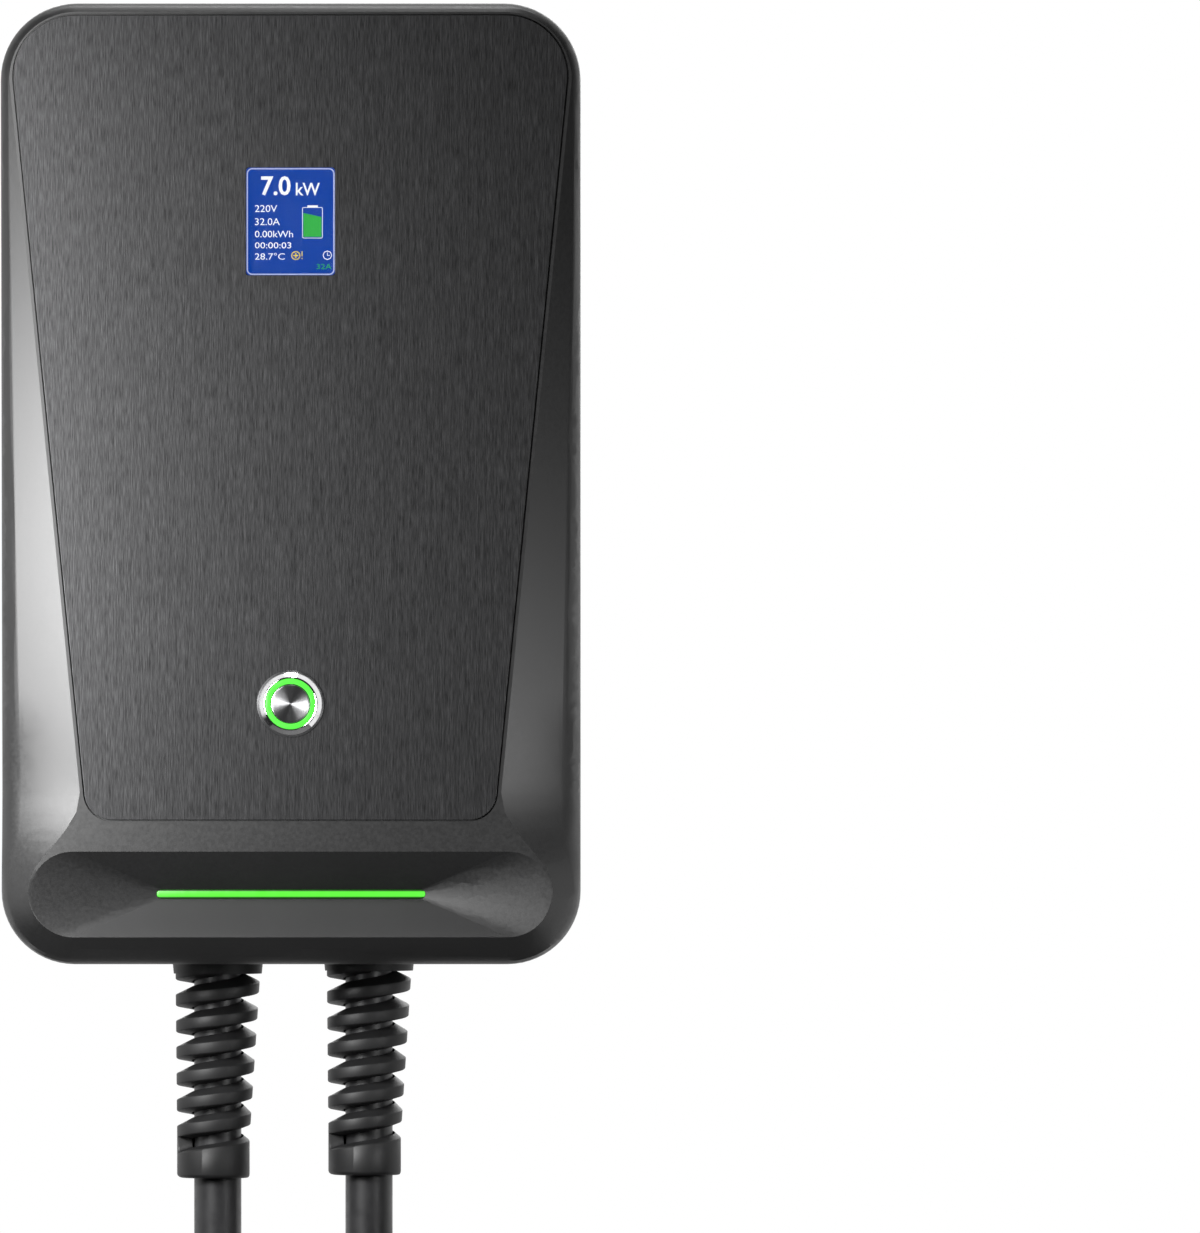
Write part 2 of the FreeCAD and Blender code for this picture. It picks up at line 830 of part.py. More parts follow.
def stadium_wire(depth, half_length, radius, z):
    """Upright slot outline with round ends at one depth."""
    y = -depth
    top_left, top_right = V(-half_length, y, z + radius), V(half_length, y, z + radius)
    low_left, low_right = V(-half_length, y, z - radius), V(half_length, y, z - radius)
    return Part.Wire(
        [
            Part.makeLine(top_left, top_right),
            Part.Arc(top_right, V(half_length + radius, y, z), low_right).toShape(),
            Part.makeLine(low_right, low_left),
            Part.Arc(low_left, V(-half_length - radius, y, z), top_left).toShape(),
        ]
    )


def pill_hollow(grow, behind, ahead):
    """Pill-shaped hollow that narrows to the light bar's slot, grown by a wall."""
    z = size("centre_height") - size("pill_drop")
    slot_radius = size("light_height") / 2 + size("fit_clearance")
    foot = (size("light_half_length"), slot_radius)
    mouth = (size("pill_half_length"), size("pill_round"))
    steep = [(m - f) / size("pill_depth") for m, f in zip(mouth, foot)]
    depth = size("cover_depth") - size("pill_depth") - behind
    reach = size("pill_depth") + behind + ahead
    first = stadium_wire(depth, foot[0], foot[1] + grow, z)
    far = [foot[i] + steep[i] * (size("pill_depth") + ahead) for i in range(2)]
    last = stadium_wire(depth + reach, far[0], far[1] + grow, z)
    return Part.makeLoft([first, last], True, True)


def display_holes():
    """Middles of the display board's four screws."""
    across = "(display_board_width / 2 - display_hole_inset)"
    up = "(display_board_height / 2 - display_hole_inset)"
    return [
        (f"{left} * {across}", f"{DISPLAY_Z} + {low} * {up}")
        for left, low in ((-1, -1), (-1, 1), (1, -1), (1, 1))
    ]


def light_holes():
    """Middles of the light board's two screws."""
    across = "(light_half_length + light_board_overhang - light_hole_inset)"
    return [(f"{way} * {across}", PILL_Z) for way in (-1, 1)]


def cover_posts():
    """Screw posts of the housing, of the display board and of the light board."""
    posts = []
    for i, (x, z) in enumerate(BOSS_PLACES):
        at = (f"{x}", f"centre_height + {z}")
        posts.append(rod(f"cover_post_{i}", "y", "cover_post_radius", FRONT, SEAL_FACE, at))
    for i, at in enumerate(display_holes()):
        posts.append(rod(f"display_post_{i}", "y", "display_post_radius", f"{INNER_FACE} - {BURY}",
                         f"{INNER_FACE} + display_module_thickness", at))
    for i, at in enumerate(light_holes()):
        posts.append(rod(f"light_post_{i}", "y", "light_post_radius", FRONT, LIGHT_BOARD_FRONT, at))
    return posts


def cover_ledge():
    """Ledge inside the cover that the seal is pressed against."""
    slab = block(
        "ledge_slab",
        ("-cover_width", "cover_width"),
        (f"{LEDGE_FACE} - ledge_thickness", LEDGE_FACE),
        ("-cover_height", "cover_height"),
    )
    opening = shell_prism("ledge_opening", size("shell_wall"), 0.0, size("cover_depth"))
    return cut("ledge_ring", slab, opening)


def seal_room():
    """Room between the two halves of the housing for the seal."""
    front = size("shell_depth") + size("seal_thickness")
    return cut(
        "seal_room",
        shell_prism("seal_room_block", -size("shell_gap") / 2, size("shell_depth"), front),
        shell_prism("seal_room_hollow", size("shell_wall"), 0.0, size("cover_depth")),
    )


def make_front_cover():
    """Moulded front: sculpted shell, posts, ledge, and the openings for what it carries."""
    rim = size("shell_gap") + size("shell_wall")
    form = feature("cover_form", cover_form(0, 0, rim, (0.0,)))
    inner_form = cover_form(size("cover_wall"), size("front_wall"), size("shell_gap"), (0.0, 1.0))
    hollow = feature("cover_hollow", inner_form)
    wall = size("cover_wall")
    backing = feature("pill_backing", pill_hollow(wall, wall, 0.0))
    inner = join("cover_inner", *cover_posts(), backing, cover_ledge())
    inner = common("cover_inner_parts", inner, form)
    whole = join("cover_whole", cut("cover_shell", form, hollow), inner)
    slot = stadium_wire(
        size("cover_depth"),
        size("light_half_length"),
        size("light_height") / 2 + size("fit_clearance"),
        size("centre_height") - size("pill_drop"),
    )
    slot = Part.Face(slot).extrude(V(0, size("cover_depth") - size("shell_depth"), 0))
    tools = [
        bay_blank("notch", "(bay_wall + bay_gap)", "centre_height - cover_height",
                  f"{CEILING} + bay_wall + bay_gap"),
        seal_room(),
        panel_blank("panel_pocket", "cover_depth - panel_thickness", f"panel_thickness + {PAST}",
                    "panel_gap"),
        feature("pill_hollow", pill_hollow(0.0, 0.0, 1.0)),
        feature("light_slot", slot),
        display_box("lens_recess", "(lens_flange + fit_clearance)", f"{PANEL_FLOOR} - {PAST}",
                    f"{PANEL_FLOOR} + lens_flange_thickness"),
        display_box("display_opening", "lens_recess_gap", FRONT, f"{INNER_FACE} + {PAST}"),
        rod("button_hole", "y", "button_barrel_radius + fit_clearance", f"{FRONT} - {PAST}",
            f"{INNER_FACE} + {PAST}", ("0", BUTTON_Z)),
    ]
    for row, z in enumerate(LOCK_HEIGHTS):
        tools.append(rod(f"side_holes_{row}", "x", "lock_hole_radius", "-cover_width", "cover_width",
                         ("-lock_depth", z)))
    for i, (x, z) in enumerate(BOSS_PLACES):
        low = "-(shell_depth + case_screw_length - boss_floor)"
        at = (f"{x}", f"centre_height + {z}")
        tools.append(rod(f"cover_pilot_{i}", "y", "case_screw_radius", low, "0", at))
    piece("front_cover", cut("front_cover", whole, *tools))


def display_box(name, grow, front, rear):
    """Box around the display's visible face, grown sideways."""
    across = (f"-(display_width / 2 + {grow})", f"display_width / 2 + {grow}")
    up = (
        f"{DISPLAY_Z} - display_height / 2 - ({grow})", f"{DISPLAY_Z} + display_height / 2 + {grow}",
    )
    return block(name, across, (front, rear), up)


def make_panel():
    """Brushed aluminium panel with the openings for the display and the button."""
    body = panel_blank("trim_panel", "cover_depth - panel_thickness", "panel_thickness", "0")
    window = new_sketch(body, "XZ_Plane", "cover_depth")
    half_width = "(display_width / 2 + display_gap)"
    half_height = "(display_height / 2 + display_gap)"
    straight_outline(
        window,
        [
            (f"-{half_width}", f"{DISPLAY_Z} + {half_height}"),
            (half_width, f"{DISPLAY_Z} + {half_height}"),
            (half_width, f"{DISPLAY_Z} - {half_height}"),
            (f"-{half_width}", f"{DISPLAY_Z} - {half_height}"),
        ],
    )
    pocket_through(body, window)
    side = size("display_width") / 2 + size("display_gap")
    round_edges(
        body, "display_corner", lambda e: is_along(e, "y") and abs(abs(e.BoundBox.XMin) - side) < 0.01
    )
    hole = new_sketch(body, "XZ_Plane", "cover_depth")
    start = 20
    hole.addGeometry(Part.Circle(V(0, start, 0), V(0, 0, 1), size("button_barrel_radius")), False)
    hole.addConstraint(Sketcher.Constraint("PointOnObject", 0, 3, -2))
    number = hole.addConstraint(Sketcher.Constraint("DistanceY", -1, 1, 0, 3, start))
    hole.setExpression(f"Constraints[{number}]", cells(BUTTON_Z))
    number = hole.addConstraint(Sketcher.Constraint("Radius", 0, size("button_barrel_radius")))
    hole.setExpression(f"Constraints[{number}]", cells("button_barrel_radius + fit_clearance"))
    pocket_through(body, hole)
    piece("trim_panel", body)


def small_screws(name, places, seat, top):
    """Small screws whose shanks go through a board from its seat to its top."""
    screws = []
    for i, at in enumerate(places):
        shank = rod(f"{name}_shank_{i}", "y", "small_screw_radius", seat, f"{top} + {BURY}", at)
        head = rod(f"{name}_head_{i}", "y", "small_screw_head_radius", top,
                   f"{top} + small_screw_head_height", at)
        screws.append(join(f"{name}_screw_{i}", shank, head))
    return group(f"{name}_screws", screws)


def small_holes(name, places, low, high):
    """Holes of a board for its small screws."""
    radius = "small_screw_radius + fit_clearance"
    return [
        rod(f"{name}_hole_{i}", "y", radius, f"{low} - {PAST}", f"{high} + {PAST}", at)
        for i, at in enumerate(places)
    ]


def make_display():
    """Stepped lens under the panel, the display module behind it and its board."""
    face = display_box("lens_face", "0", FRONT, PANEL_FLOOR)
    flange = display_box("lens_flange_box", "lens_flange", PANEL_FLOOR,
                         f"{PANEL_FLOOR} + lens_flange_thickness")
    piece("display_window", join("display_window", face, flange))
    module_rear = f"{INNER_FACE} + display_module_thickness"
    across = ("-display_module_width / 2", "display_module_width / 2")
    up = (f"{DISPLAY_Z} - display_module_height / 2", f"{DISPLAY_Z} + display_module_height / 2")
    piece("display_module", block("display_module", across, (INNER_FACE, module_rear), up))
    across = ("-display_board_width / 2", "display_board_width / 2")
    up = (f"{DISPLAY_Z} - display_board_height / 2", f"{DISPLAY_Z} + display_board_height / 2")
    board_rear = f"{module_rear} + board_thickness"
    board = block("display_board_blank", across, (module_rear, board_rear), up)
    plug_z = f"({DISPLAY_Z} - display_plug_drop)"
    connector = block("display_plug", ("-display_plug_width / 2", "display_plug_width / 2"),
                      (board_rear, f"{board_rear} + display_plug_depth"),
                      (f"{plug_z} - display_plug_height / 2", f"{plug_z} + display_plug_height / 2"))
    blank = join("display_board_parts", board, connector)
    holes = small_holes("display", display_holes(), module_rear, board_rear)
    piece("display_board", cut("display_board", blank, *holes))
    piece("display_screws", small_screws("display", display_holes(), module_rear, board_rear))


BUTTON_FACE = "(-(cover_depth + button_seal_thickness + button_flange_thickness))"
CAP_REAR = f"({BUTTON_FACE} - button_cap_proud + button_cap_length)"
WELL_FLOOR = f"({CAP_REAR} + button_travel + button_well_gap)"


def button_bezel(at):
    """Flange and barrel of the button in one, with the flange's front edge bevelled."""
    seal_front = f"{FRONT} - button_seal_thickness"
    head = rod("button_head", "y", "button_flange_radius", BUTTON_FACE, seal_front, at)
    barrel = rod("button_barrel", "y", "button_barrel_radius", seal_front,
                 f"{seal_front} + button_barrel_length", at)
    bezel = doc.addObject("Part::Chamfer", "button_bezel")
    bezel.Base = join("button_blank", head, barrel)
    doc.recompute()
    edges = bezel.Base.Shape.Edges
    rims = [
        i for i, edge in enumerate(edges)
        if isinstance(edge.Curve, Part.Circle)
        and abs(edge.Curve.Radius - size("button_flange_radius")) < 1e-6
    ]
    front_rim = min(rims, key=lambda i: edges[i].Curve.Center.y)
    bezel.Edges = [(front_rim + 1, size("button_chamfer"), size("button_chamfer"))]
    return bezel


def make_button():
    """Sprung push button with a lit ring: barrel, ring, cap, spring, seal and nut."""
    at = ("0", BUTTON_Z)
    outside = f"{BUTTON_FACE} - {PAST}"
    groove_floor = f"{BUTTON_FACE} + button_ring_thickness"
    bore = rod("button_bore", "y", "button_cap_radius + running_clearance", outside, WELL_FLOOR, at)
    groove = rod("ring_groove", "y", "button_ring_outer + running_clearance", outside, groove_floor, at)
    piece("button_body", cut("button_body", button_bezel(at), bore, groove))
    piece("button_ring", tube_group("button_ring", "y", "button_ring_outer", "button_ring_inner",
                                    BUTTON_FACE, groove_floor, at))
    cap_face = f"{BUTTON_FACE} - button_cap_proud"
    cap = rod("cap_blank", "y", "button_cap_radius", cap_face, CAP_REAR, at)
    dish = cone("cap_dish", "y", "button_cap_radius - button_dish_rim", "button_dish_middle", cap_face,
                f"{cap_face} + button_dish_depth", at)
    well = rod("cap_well", "y", "button_cap_radius - cap_skirt", f"{CAP_REAR} - cap_well_depth",
               f"{CAP_REAR} + {PAST}", at)
    piece("button_cap", cut("button_cap", cap, dish, well))
    piece("button_spring", feature("button_spring", spring_shape()))
    piece("button_seal", tube_group("button_seal", "y", "button_flange_radius - button_seal_inset",
                                    "button_barrel_radius + fit_clearance",
                                    f"{FRONT} - button_seal_thickness", FRONT, at))
    nut_rear = f"{INNER_FACE} + button_nut_thickness"
    nut = hexagon("nut_blank", "y", "button_nut_width", INNER_FACE, nut_rear, at)
    nut_bore = rod("nut_bore", "y", "button_barrel_radius", f"{INNER_FACE} - {PAST}",
                   f"{nut_rear} + {PAST}", at)
    piece("button_nut", cut("button_nut", nut, nut_bore))


SQUARE = ((-1, -1), (1, -1), (1, 1), (-1, 1), (-1, -1))


def spring_shape():
    """Flat-wire spring that stands on the floor of the button's well."""
    half = size("spring_half_wire")
    radius = size("button_cap_radius") - size("cap_skirt") - size("spring_side_gap")
    front = -size("cover_depth") - size("button_seal_thickness") - size("button_flange_thickness")
    cap_rear = front - size("button_cap_proud") + size("button_cap_length")
    floor = cap_rear + size("button_travel") + size("button_well_gap")
    top = cap_rear - size("cap_well_depth") + size("button_travel") + size("spring_end_gap")
    height = floor - top - 2 * half
    helix = Part.makeHelix(height / size("spring_turns"), height, radius)
    corners = [V(radius + x * half, 0, z * half) for x, z in SQUARE]
    coil = Part.Wire(helix).makePipeShell([Part.makePolygon(corners)], True, True)
    coil.rotate(V(), V(1, 0, 0), 90)
    seat = floor - half - size("spring_seat_gap")
    coil.translate(V(0, seat, size("centre_height") - size("button_drop")))
    return coil


def make_light_bar():
    """Diffuser in the slot at the foot of the pill hollow, with its board behind."""
    z = size("centre_height") - size("pill_drop")
    rear = -(size("cover_depth") - size("pill_depth") - size("cover_wall"))
    reach = size("cover_wall") + size("light_proud")
    half_length = size("light_half_length") - size("light_end_gap")
    bar = stadium_wire(reach - rear, half_length, size("light_height") / 2, z)
    bar = Part.Face(bar).extrude(V(0, reach, 0))
    flange = stadium_wire(-rear, size("light_half_length"), size("light_flange"), z)
    flange = Part.Face(flange).extrude(V(0, size("light_flange_thickness"), 0))
    piece("light_bar", feature("light_bar", bar.fuse(flange)))
    board_rear = f"{LIGHT_BOARD_FRONT} + light_board_thickness"
    half = "(light_half_length + light_board_overhang)"
    board = block("light_board_blank", (f"-{half}", half), (LIGHT_BOARD_FRONT, board_rear),
                  (f"{PILL_Z} - light_board_height / 2", f"{PILL_Z} + light_board_height / 2"))
    holes = small_holes("light", light_holes(), LIGHT_BOARD_FRONT, board_rear)
    piece("light_board", cut("light_board", board, *holes))
    piece("light_screws", small_screws("light", light_holes(), LIGHT_BOARD_FRONT, board_rear))


def shell_prism(name, inset_by, rear, front):
    """Rounded block of the rear shell's outline, drawn in by a wall, between two depths."""
    sizes = (
        size("shell_width") / 2 - inset_by,
        size("shell_top") - inset_by,
        inset_by - size("shell_bottom"),
        size("shell_corner") - inset_by,
        size("shell_corner") - inset_by,
    )
    return feature(name, Part.Face(rounded_wire(rear, *sizes)).extrude(V(0, rear - front, 0)))


def rib(name, across, up):
    """Rib on the back of the floor, from the wall plane to just inside the floor."""
    return block(name, across, (f"{FLOOR_BACK} - {BURY}", "0"), up)


def around(middle):
    """The two sides of a rib about its middle."""
    return f"{middle} - rib_thickness / 2", f"{middle} + rib_thickness / 2"


def side_cells():
    """Ribs of the four side cells and the tubes of the side locks that cross them."""
    parts = []
    half = "shell_width / 2"
    inner = "(side_rib_inner - rib_thickness / 2)"
    rows = ((RIB_ROWS[0], RIB_ROWS[1]), (RIB_ROWS[4], RIB_ROWS[5]))
    for row, (high, low) in enumerate(rows):
        reach = (f"centre_height + {low}", f"centre_height + {high}")
        lock_z = LOCK_HEIGHTS[row]
        for way in (-1, 1):
            for name in ("side_rib_inner", "side_rib_outer"):
                parts.append(rib(f"{name}_{row}", around(f"{way} * {name}"), reach))
            span = (inner, half) if way > 0 else (f"-{half}", f"-{inner}")
            for z in (CELL_ROWS[row][0], CELL_ROWS[row][1], sum(CELL_ROWS[row]) / 2):
                parts.append(rib(f"cell_rib_{row}", span, around(f"centre_height + {z}")))
            ends = (inner, f"{half} - fit_clearance")
            if way < 0:
                ends = (f"fit_clearance - {half}", f"-{inner}")
            parts.append(rod(f"lock_tube_{row}", "x", "lock_radius", *ends, ("-lock_depth", lock_z)))
    return parts


def ribs():
    """Crossing ribs of the back."""
    half = f"(shell_width / 2 - {BURY})"
    parts = []
    for i, z in enumerate(RIB_ROWS):
        parts.append(rib(f"row_{i}", (f"-{half}", half), around(f"centre_height + {z}")))
    high, low = f"centre_height + shell_top - {BURY}", f"{CEILING} + {BURY}"
    top_row, foot_row = f"centre_height + {RIB_ROWS[0]}", f"centre_height + {RIB_ROWS[5]}"
    for way in (-1, 1):
        parts.append(rib(f"column_{way}", around(f"{way} * rib_column"), (low, high)))
        span = around(f"{way} * side_rib_inner")
        parts.append(rib("corner_rib_top", span, (top_row, "centre_height + shell_top - corner_rib_drop")))
        foot = "centre_height - shell_bottom + corner_rib_rise"
        parts.append(rib("corner_rib_foot", span, (foot, foot_row)))
    span = around("0")
    parts.append(rib("middle_column_top", span, (f"centre_height + {RIB_ROWS[2]}", high)))
    parts.append(rib("middle_column_low", span, (low, f"centre_height + {RIB_ROWS[3]}")))
    return parts


def hook_pocket(name, way, row, grow, rear, front):
    """T-shaped pocket that takes a wall hook: a long narrow slot with a wider stretch.

    Grown by a wall it is the box around the pocket, thinner on the side of the side cells.
    """
    low, high, wide_low, wide_high = row
    slots = []
    for part, reach, z_low, z_high in (
        ("slot", "hook_inner", low, high), ("wide", "hook_wide_inner", wide_low, wide_high),
    ):
        near, far = f"({reach} - {grow})", f"(hook_outer + {grow} / 2)"
        span = (near, far) if way > 0 else (f"-{far}", f"-{near}")
        up = (f"centre_height + {z_low} - {grow}", f"centre_height + {z_high} + {grow}")
        slots.append(block(f"{name}_{part}", span, (front, rear), up))
    return join(name, *slots)


def bosses():
    """Screw bosses along the rim, kept within the shell's outline."""
    rods = []
    for i, (x, z) in enumerate(BOSS_PLACES):
        at = (f"{x}", f"centre_height + {z}")
        rods.append(rod(f"boss_{i}", "y", "boss_radius", SEAL_FACE, "0", at))
    outline = shell_prism("boss_limit", 0.0, 0.0, size("shell_depth"))
    return common("bosses", join("boss_rods", *rods), outline)


def boss_holes():
    """Wells for the heads of the housing's screws and the holes of their shanks."""
    tools = []
    for i, (x, z) in enumerate(BOSS_PLACES):
        at = (f"{x}", f"centre_height + {z}")
        tools.append(rod(f"boss_hole_{i}", "y", "boss_hole_radius", BOSS_FLOOR, PAST, at))
        tools.append(rod(f"boss_screw_hole_{i}", "y", "case_screw_radius + 2 * fit_clearance",
                         f"{SEAL_FACE} - {PAST}", PAST, at))
    return tools


def back_posts():
    """Round posts among the ribs, and their stepped recesses."""
    posts, tools = [], []
    for i, (x, z) in enumerate(POST_PLACES):
        at = (f"{x}", f"centre_height + {z}")
        posts.append(rod(f"post_{i}", "y", "post_radius", f"{FLOOR_BACK} - {BURY}", "0", at))
        tools.append(rod(f"post_recess_{i}", "y", "post_recess_radius", "-post_recess_depth", PAST, at))
        tools.append(rod(f"post_well_{i}", "y", "post_recess_radius - post_well_step",
                         "-(post_recess_depth + post_well_depth)", PAST, at))
    return posts, tools


def hook_pockets():
    """Boxes of the four hook pockets, and the pockets themselves."""
    boxes, tools = [], []
    floor = f"{FLOOR_FRONT} - hook_depth"
    for i, row in enumerate(HOOK_ROWS):
        for way in (-1, 1):
            boxes.append(hook_pocket(f"hook_box_{i}", way, row, "hook_wall", f"{FLOOR_BACK} - {BURY}",
                                     f"{floor} - hook_wall"))
            tools.append(hook_pocket(f"hook_slot_{i}", way, row, "0", PAST, floor))
    return boxes, tools


def raised_mark():
    """Raised ring with a bar on the floor between the ribs."""
    ring_z = "(centre_height + mark_rise)"
    front, rear = f"{FLOOR_BACK} - {BURY}", f"{FLOOR_BACK} + mark_height"
    ring = tube_group("mark_ring", "y", "mark_radius", "mark_radius - mark_line", front, rear,
                      ("0", ring_z))
    reach = "(mark_radius - mark_line / 2)"
    bar = block("mark_bar", (f"-{reach}", reach), (front, rear),
                (f"{ring_z} - mark_line / 2", f"{ring_z} + mark_line / 2"))
    return [ring, bar]


def lock_bores():
    """Bores of the four side locks, each only through its own tube."""
    near = f"(side_rib_inner - rib_thickness / 2 - {PAST})"
    tools = []
    for row, z in enumerate(LOCK_HEIGHTS):
        for way, (low, high) in enumerate(((near, "cover_width"), ("-cover_width", f"-{near}"))):
            tools.append(rod(f"lock_bore_{row}_{way}", "x", "lock_bore", low, high, ("-lock_depth", z)))
    return tools


def gland_holes():
    """Holes in the ceiling of the cable bay for the two glands."""
    return [
        rod(f"{name}_gland_hole", "z", "gland_thread_radius + gland_hole_gap", f"{CEILING} - {PAST}",
            f"{CEILING} + bay_wall + {PAST}", (f"{way} * gland_spread", "-gland_depth"))
        for name, way in (("input", -1), ("output", 1))
    ]


def make_rear_shell():
    """Moulded rear shell: rim, ribbed floor, screw bosses, posts, hook pockets and cable bay."""
    wall = size("shell_wall")
    rim = cut(
        "shell_rim",
        shell_prism("rim_block", 0.0, 0.0, size("shell_depth")),
        shell_prism("rim_hollow", wall, -1.0, size("cover_depth")),
    )
    floor = shell_prism("floor_block", wall / 2, size("floor_depth"),
                        size("floor_depth") + size("floor_thickness"))
    posts, recesses = back_posts()
    boxes, slots = hook_pockets()
    parts = [rim, floor, *ribs(), *side_cells(), bosses(), *posts, *boxes, *raised_mark(), *standoffs()]
    bay_low = "centre_height - cover_height"
    bay_outer = bay_blank("bay_outer", "bay_wall", bay_low, f"{CEILING} + bay_wall")
    bay_inner = bay_blank("bay_inner", "0", bay_low, CEILING)
    lift = block("bay_limit", ("-cover_width", "cover_width"), ("-cover_depth", "0"),
                 (bay_low, "centre_height + cover_height"))
    walls = common("bay_walls", common("bay_in_cover", bay_outer, doc.getObject("cover_form")), lift)
    plate, hollow = bay_plate()
    open_shell = cut("open_shell", join("rear_shell_parts", *parts, walls), bay_inner)
    tools = [*boss_holes(), *recesses, *slots, *lock_bores(), *gland_holes(), *standoff_holes(), hollow]
    piece("rear_shell", cut("rear_shell", join("shell_and_plate", open_shell, plate), *tools))


def bay_plate():
    """Plate on the bay's front wall between the glands, with its round recess."""
    plate = block(
        "bay_plate",
        ("-bay_plate_half_width", "bay_plate_half_width"),
        (f"-(bay_depth + {BURY})", "-(bay_depth - bay_plate_thickness)"),
        ("centre_height - bay_plate_foot", f"{CEILING} + {BURY}"),
    )
    hollow = rod("bay_plate_recess", "y", "bay_plate_recess_radius",
                 "-(bay_depth - bay_plate_thickness / 4)", f"-(bay_depth - bay_plate_thickness - {PAST})",
                 ("0", "centre_height - bay_plate_recess_drop"))
    return plate, hollow


BOARD_REAR = f"({FLOOR_FRONT} - standoff_height)"
BOARD_FRONT = f"({BOARD_REAR} - board_thickness)"


def board_corners():
    """Middles of the main board's four holes."""
    across = "(board_width / 2 - board_hole_inset)"
    high = "centre_height + board_top - board_hole_inset"
    low = "centre_height - board_bottom + board_hole_inset"
    return [(f"-{across}", high), (across, high), (f"-{across}", low), (across, low)]


def standoffs():
    """Pillars on the inside of the floor that carry the main board."""
    return [
        rod(f"standoff_{i}", "y", "standoff_radius", BOARD_REAR, f"{FLOOR_BACK} - {BURY}", at)
        for i, at in enumerate(board_corners())
    ]


def standoff_holes():
    """Pilot holes in the pillars."""
    return [
        rod(f"standoff_hole_{i}", "y", "board_screw_radius", f"{BOARD_REAR} - {PAST}",
            f"{BOARD_FRONT} + board_screw_length + {BURY}", at)
        for i, at in enumerate(board_corners())
    ]


def make_case_parts():
    """Seal between the two housing halves and the screws that close them."""
    gap = size("seal_side_gap")
    front = size("shell_depth") + size("seal_thickness")
    seal = cut(
        "seal_ring",
        shell_prism("seal_block", gap, size("shell_depth"), front),
        shell_prism("seal_hollow", size("shell_wall") - gap, 0.0, size("cover_depth")),
    )
    notch = bay_blank("seal_notch", "(bay_wall + bay_gap)", "centre_height - cover_height", CEILING)
    piece("case_seal", cut("case_seal", seal, notch))
    screws = []
    for i, (x, z) in enumerate(BOSS_PLACES):
        at = (f"{x}", f"centre_height + {z}")
        head_rear = f"{BOSS_FLOOR} + case_screw_head_height"
        head = rod(f"case_head_{i}", "y", "case_screw_head_radius", BOSS_FLOOR, head_rear, at)
        shank = rod(f"case_shank_{i}", "y", "case_screw_radius", f"{BOSS_FLOOR} - case_screw_length",
                    BOSS_FLOOR, at)
        socket = hexagon(f"case_socket_{i}", "y", "case_socket_width",
                         f"{BOSS_FLOOR} + case_screw_head_height / 3", f"{head_rear} + {PAST}", at)
        screws.append(cut(f"case_screw_{i}", join(f"case_screw_blank_{i}", head, shank), socket))
    piece("case_screws", group("case_screws", screws))


GLANDS = (("input", -1, "loose_cap_extra"), ("output", 1, "0"))


def relief_spiral(at, top):
    """Tapered helical band of the strain relief, which hangs from a height and ends in the ring.

    Its two ends are buried in the collar and in the ring.
    """
    steps_per_turn = 15
    half = size("relief_band") / 2
    edge = size("relief_edge")
    bury = half + size("relief_root_gap")
    length = size("relief_length") + 2 * bury
    steps = round(length / size("relief_pitch") * steps_per_turn)
    inner = size("cable_radius") + size("cable_clearance") + size("relief_root_gap")
    sections = []
    for i in range(steps + 1):
        share = i / steps
        outer = size("relief_end_radius") - size("relief_band_drop")
        outer += share * (size("relief_top_radius") - size("relief_end_radius"))
        z = top + bury - length * (1 - share)
        turn = math.radians(size("relief_start") + 360 * i / steps_per_turn)
        profile = ((inner, -half), (outer, edge - half), (outer, half - edge), (inner, half))
        corners = [
            V(at[0] + radius * math.cos(turn), at[1] + radius * math.sin(turn), z + height)
            for radius, height in profile
        ]
        sections.append(Part.makePolygon([*corners, corners[0]]))
    return Part.makeLoft(sections, True, True)


def make_gland(name, way, extra):
    """Cable gland: threaded body, washer, locknut, seal, and the cap with its spiral relief."""
    at = (f"{way} * gland_spread", "-gland_depth")
    washer_low = f"{CEILING} - gland_washer_thickness"
    hex_low = f"{washer_low} - gland_hex_height"
    clamp_low = f"{hex_low} - gland_clamp_length"
    seal_top = f"{hex_low} - gland_seal_floor"
    thread_top = f"{CEILING} + gland_thread_length"
    body = join(
        f"{name}_gland_blank",
        rod(f"{name}_gland_thread", "z", "gland_thread_radius", washer_low, thread_top, at),
        hexagon(f"{name}_gland_hex", "z", "gland_hex", hex_low, washer_low, at),
        rod(f"{name}_gland_clamp", "z", "gland_clamp_radius", clamp_low, hex_low, at),
    )
    through = rod(f"{name}_gland_bore", "z", "cable_radius + cable_clearance", f"{clamp_low} - {PAST}",
                  f"{thread_top} + {PAST}", at)
    seat = rod(f"{name}_seal_seat", "z", "gland_seal_radius + fit_clearance", f"{clamp_low} - {PAST}",
               seal_top, at)
    piece(f"{name}_gland_body", cut(f"{name}_gland_body", body, through, seat))
    piece(f"{name}_gland_washer", tube_group(f"{name}_gland_washer", "z", "gland_washer_radius",
                                             "gland_thread_radius + gland_washer_gap", washer_low,
                                             CEILING, at))
    nut_low = f"{CEILING} + bay_wall"
    nut_top = f"{nut_low} + locknut_height"
    nut = hexagon(f"{name}_locknut_blank", "z", "locknut_hex", nut_low, nut_top, at)
    nut_bore = rod(f"{name}_locknut_bore", "z", "gland_thread_radius", f"{nut_low} - {PAST}",
                   f"{nut_top} + {PAST}", at)
    piece(f"{name}_gland_locknut", cut(f"{name}_gland_locknut", nut, nut_bore))
    piece(f"{name}_gland_seal", tube_group(f"{name}_gland_seal", "z", "gland_seal_radius",
                                           "cable_radius", clamp_low, seal_top, at))
    make_gland_cap(name, way, at, f"{hex_low} - gland_cap_gap - {extra}", clamp_low)


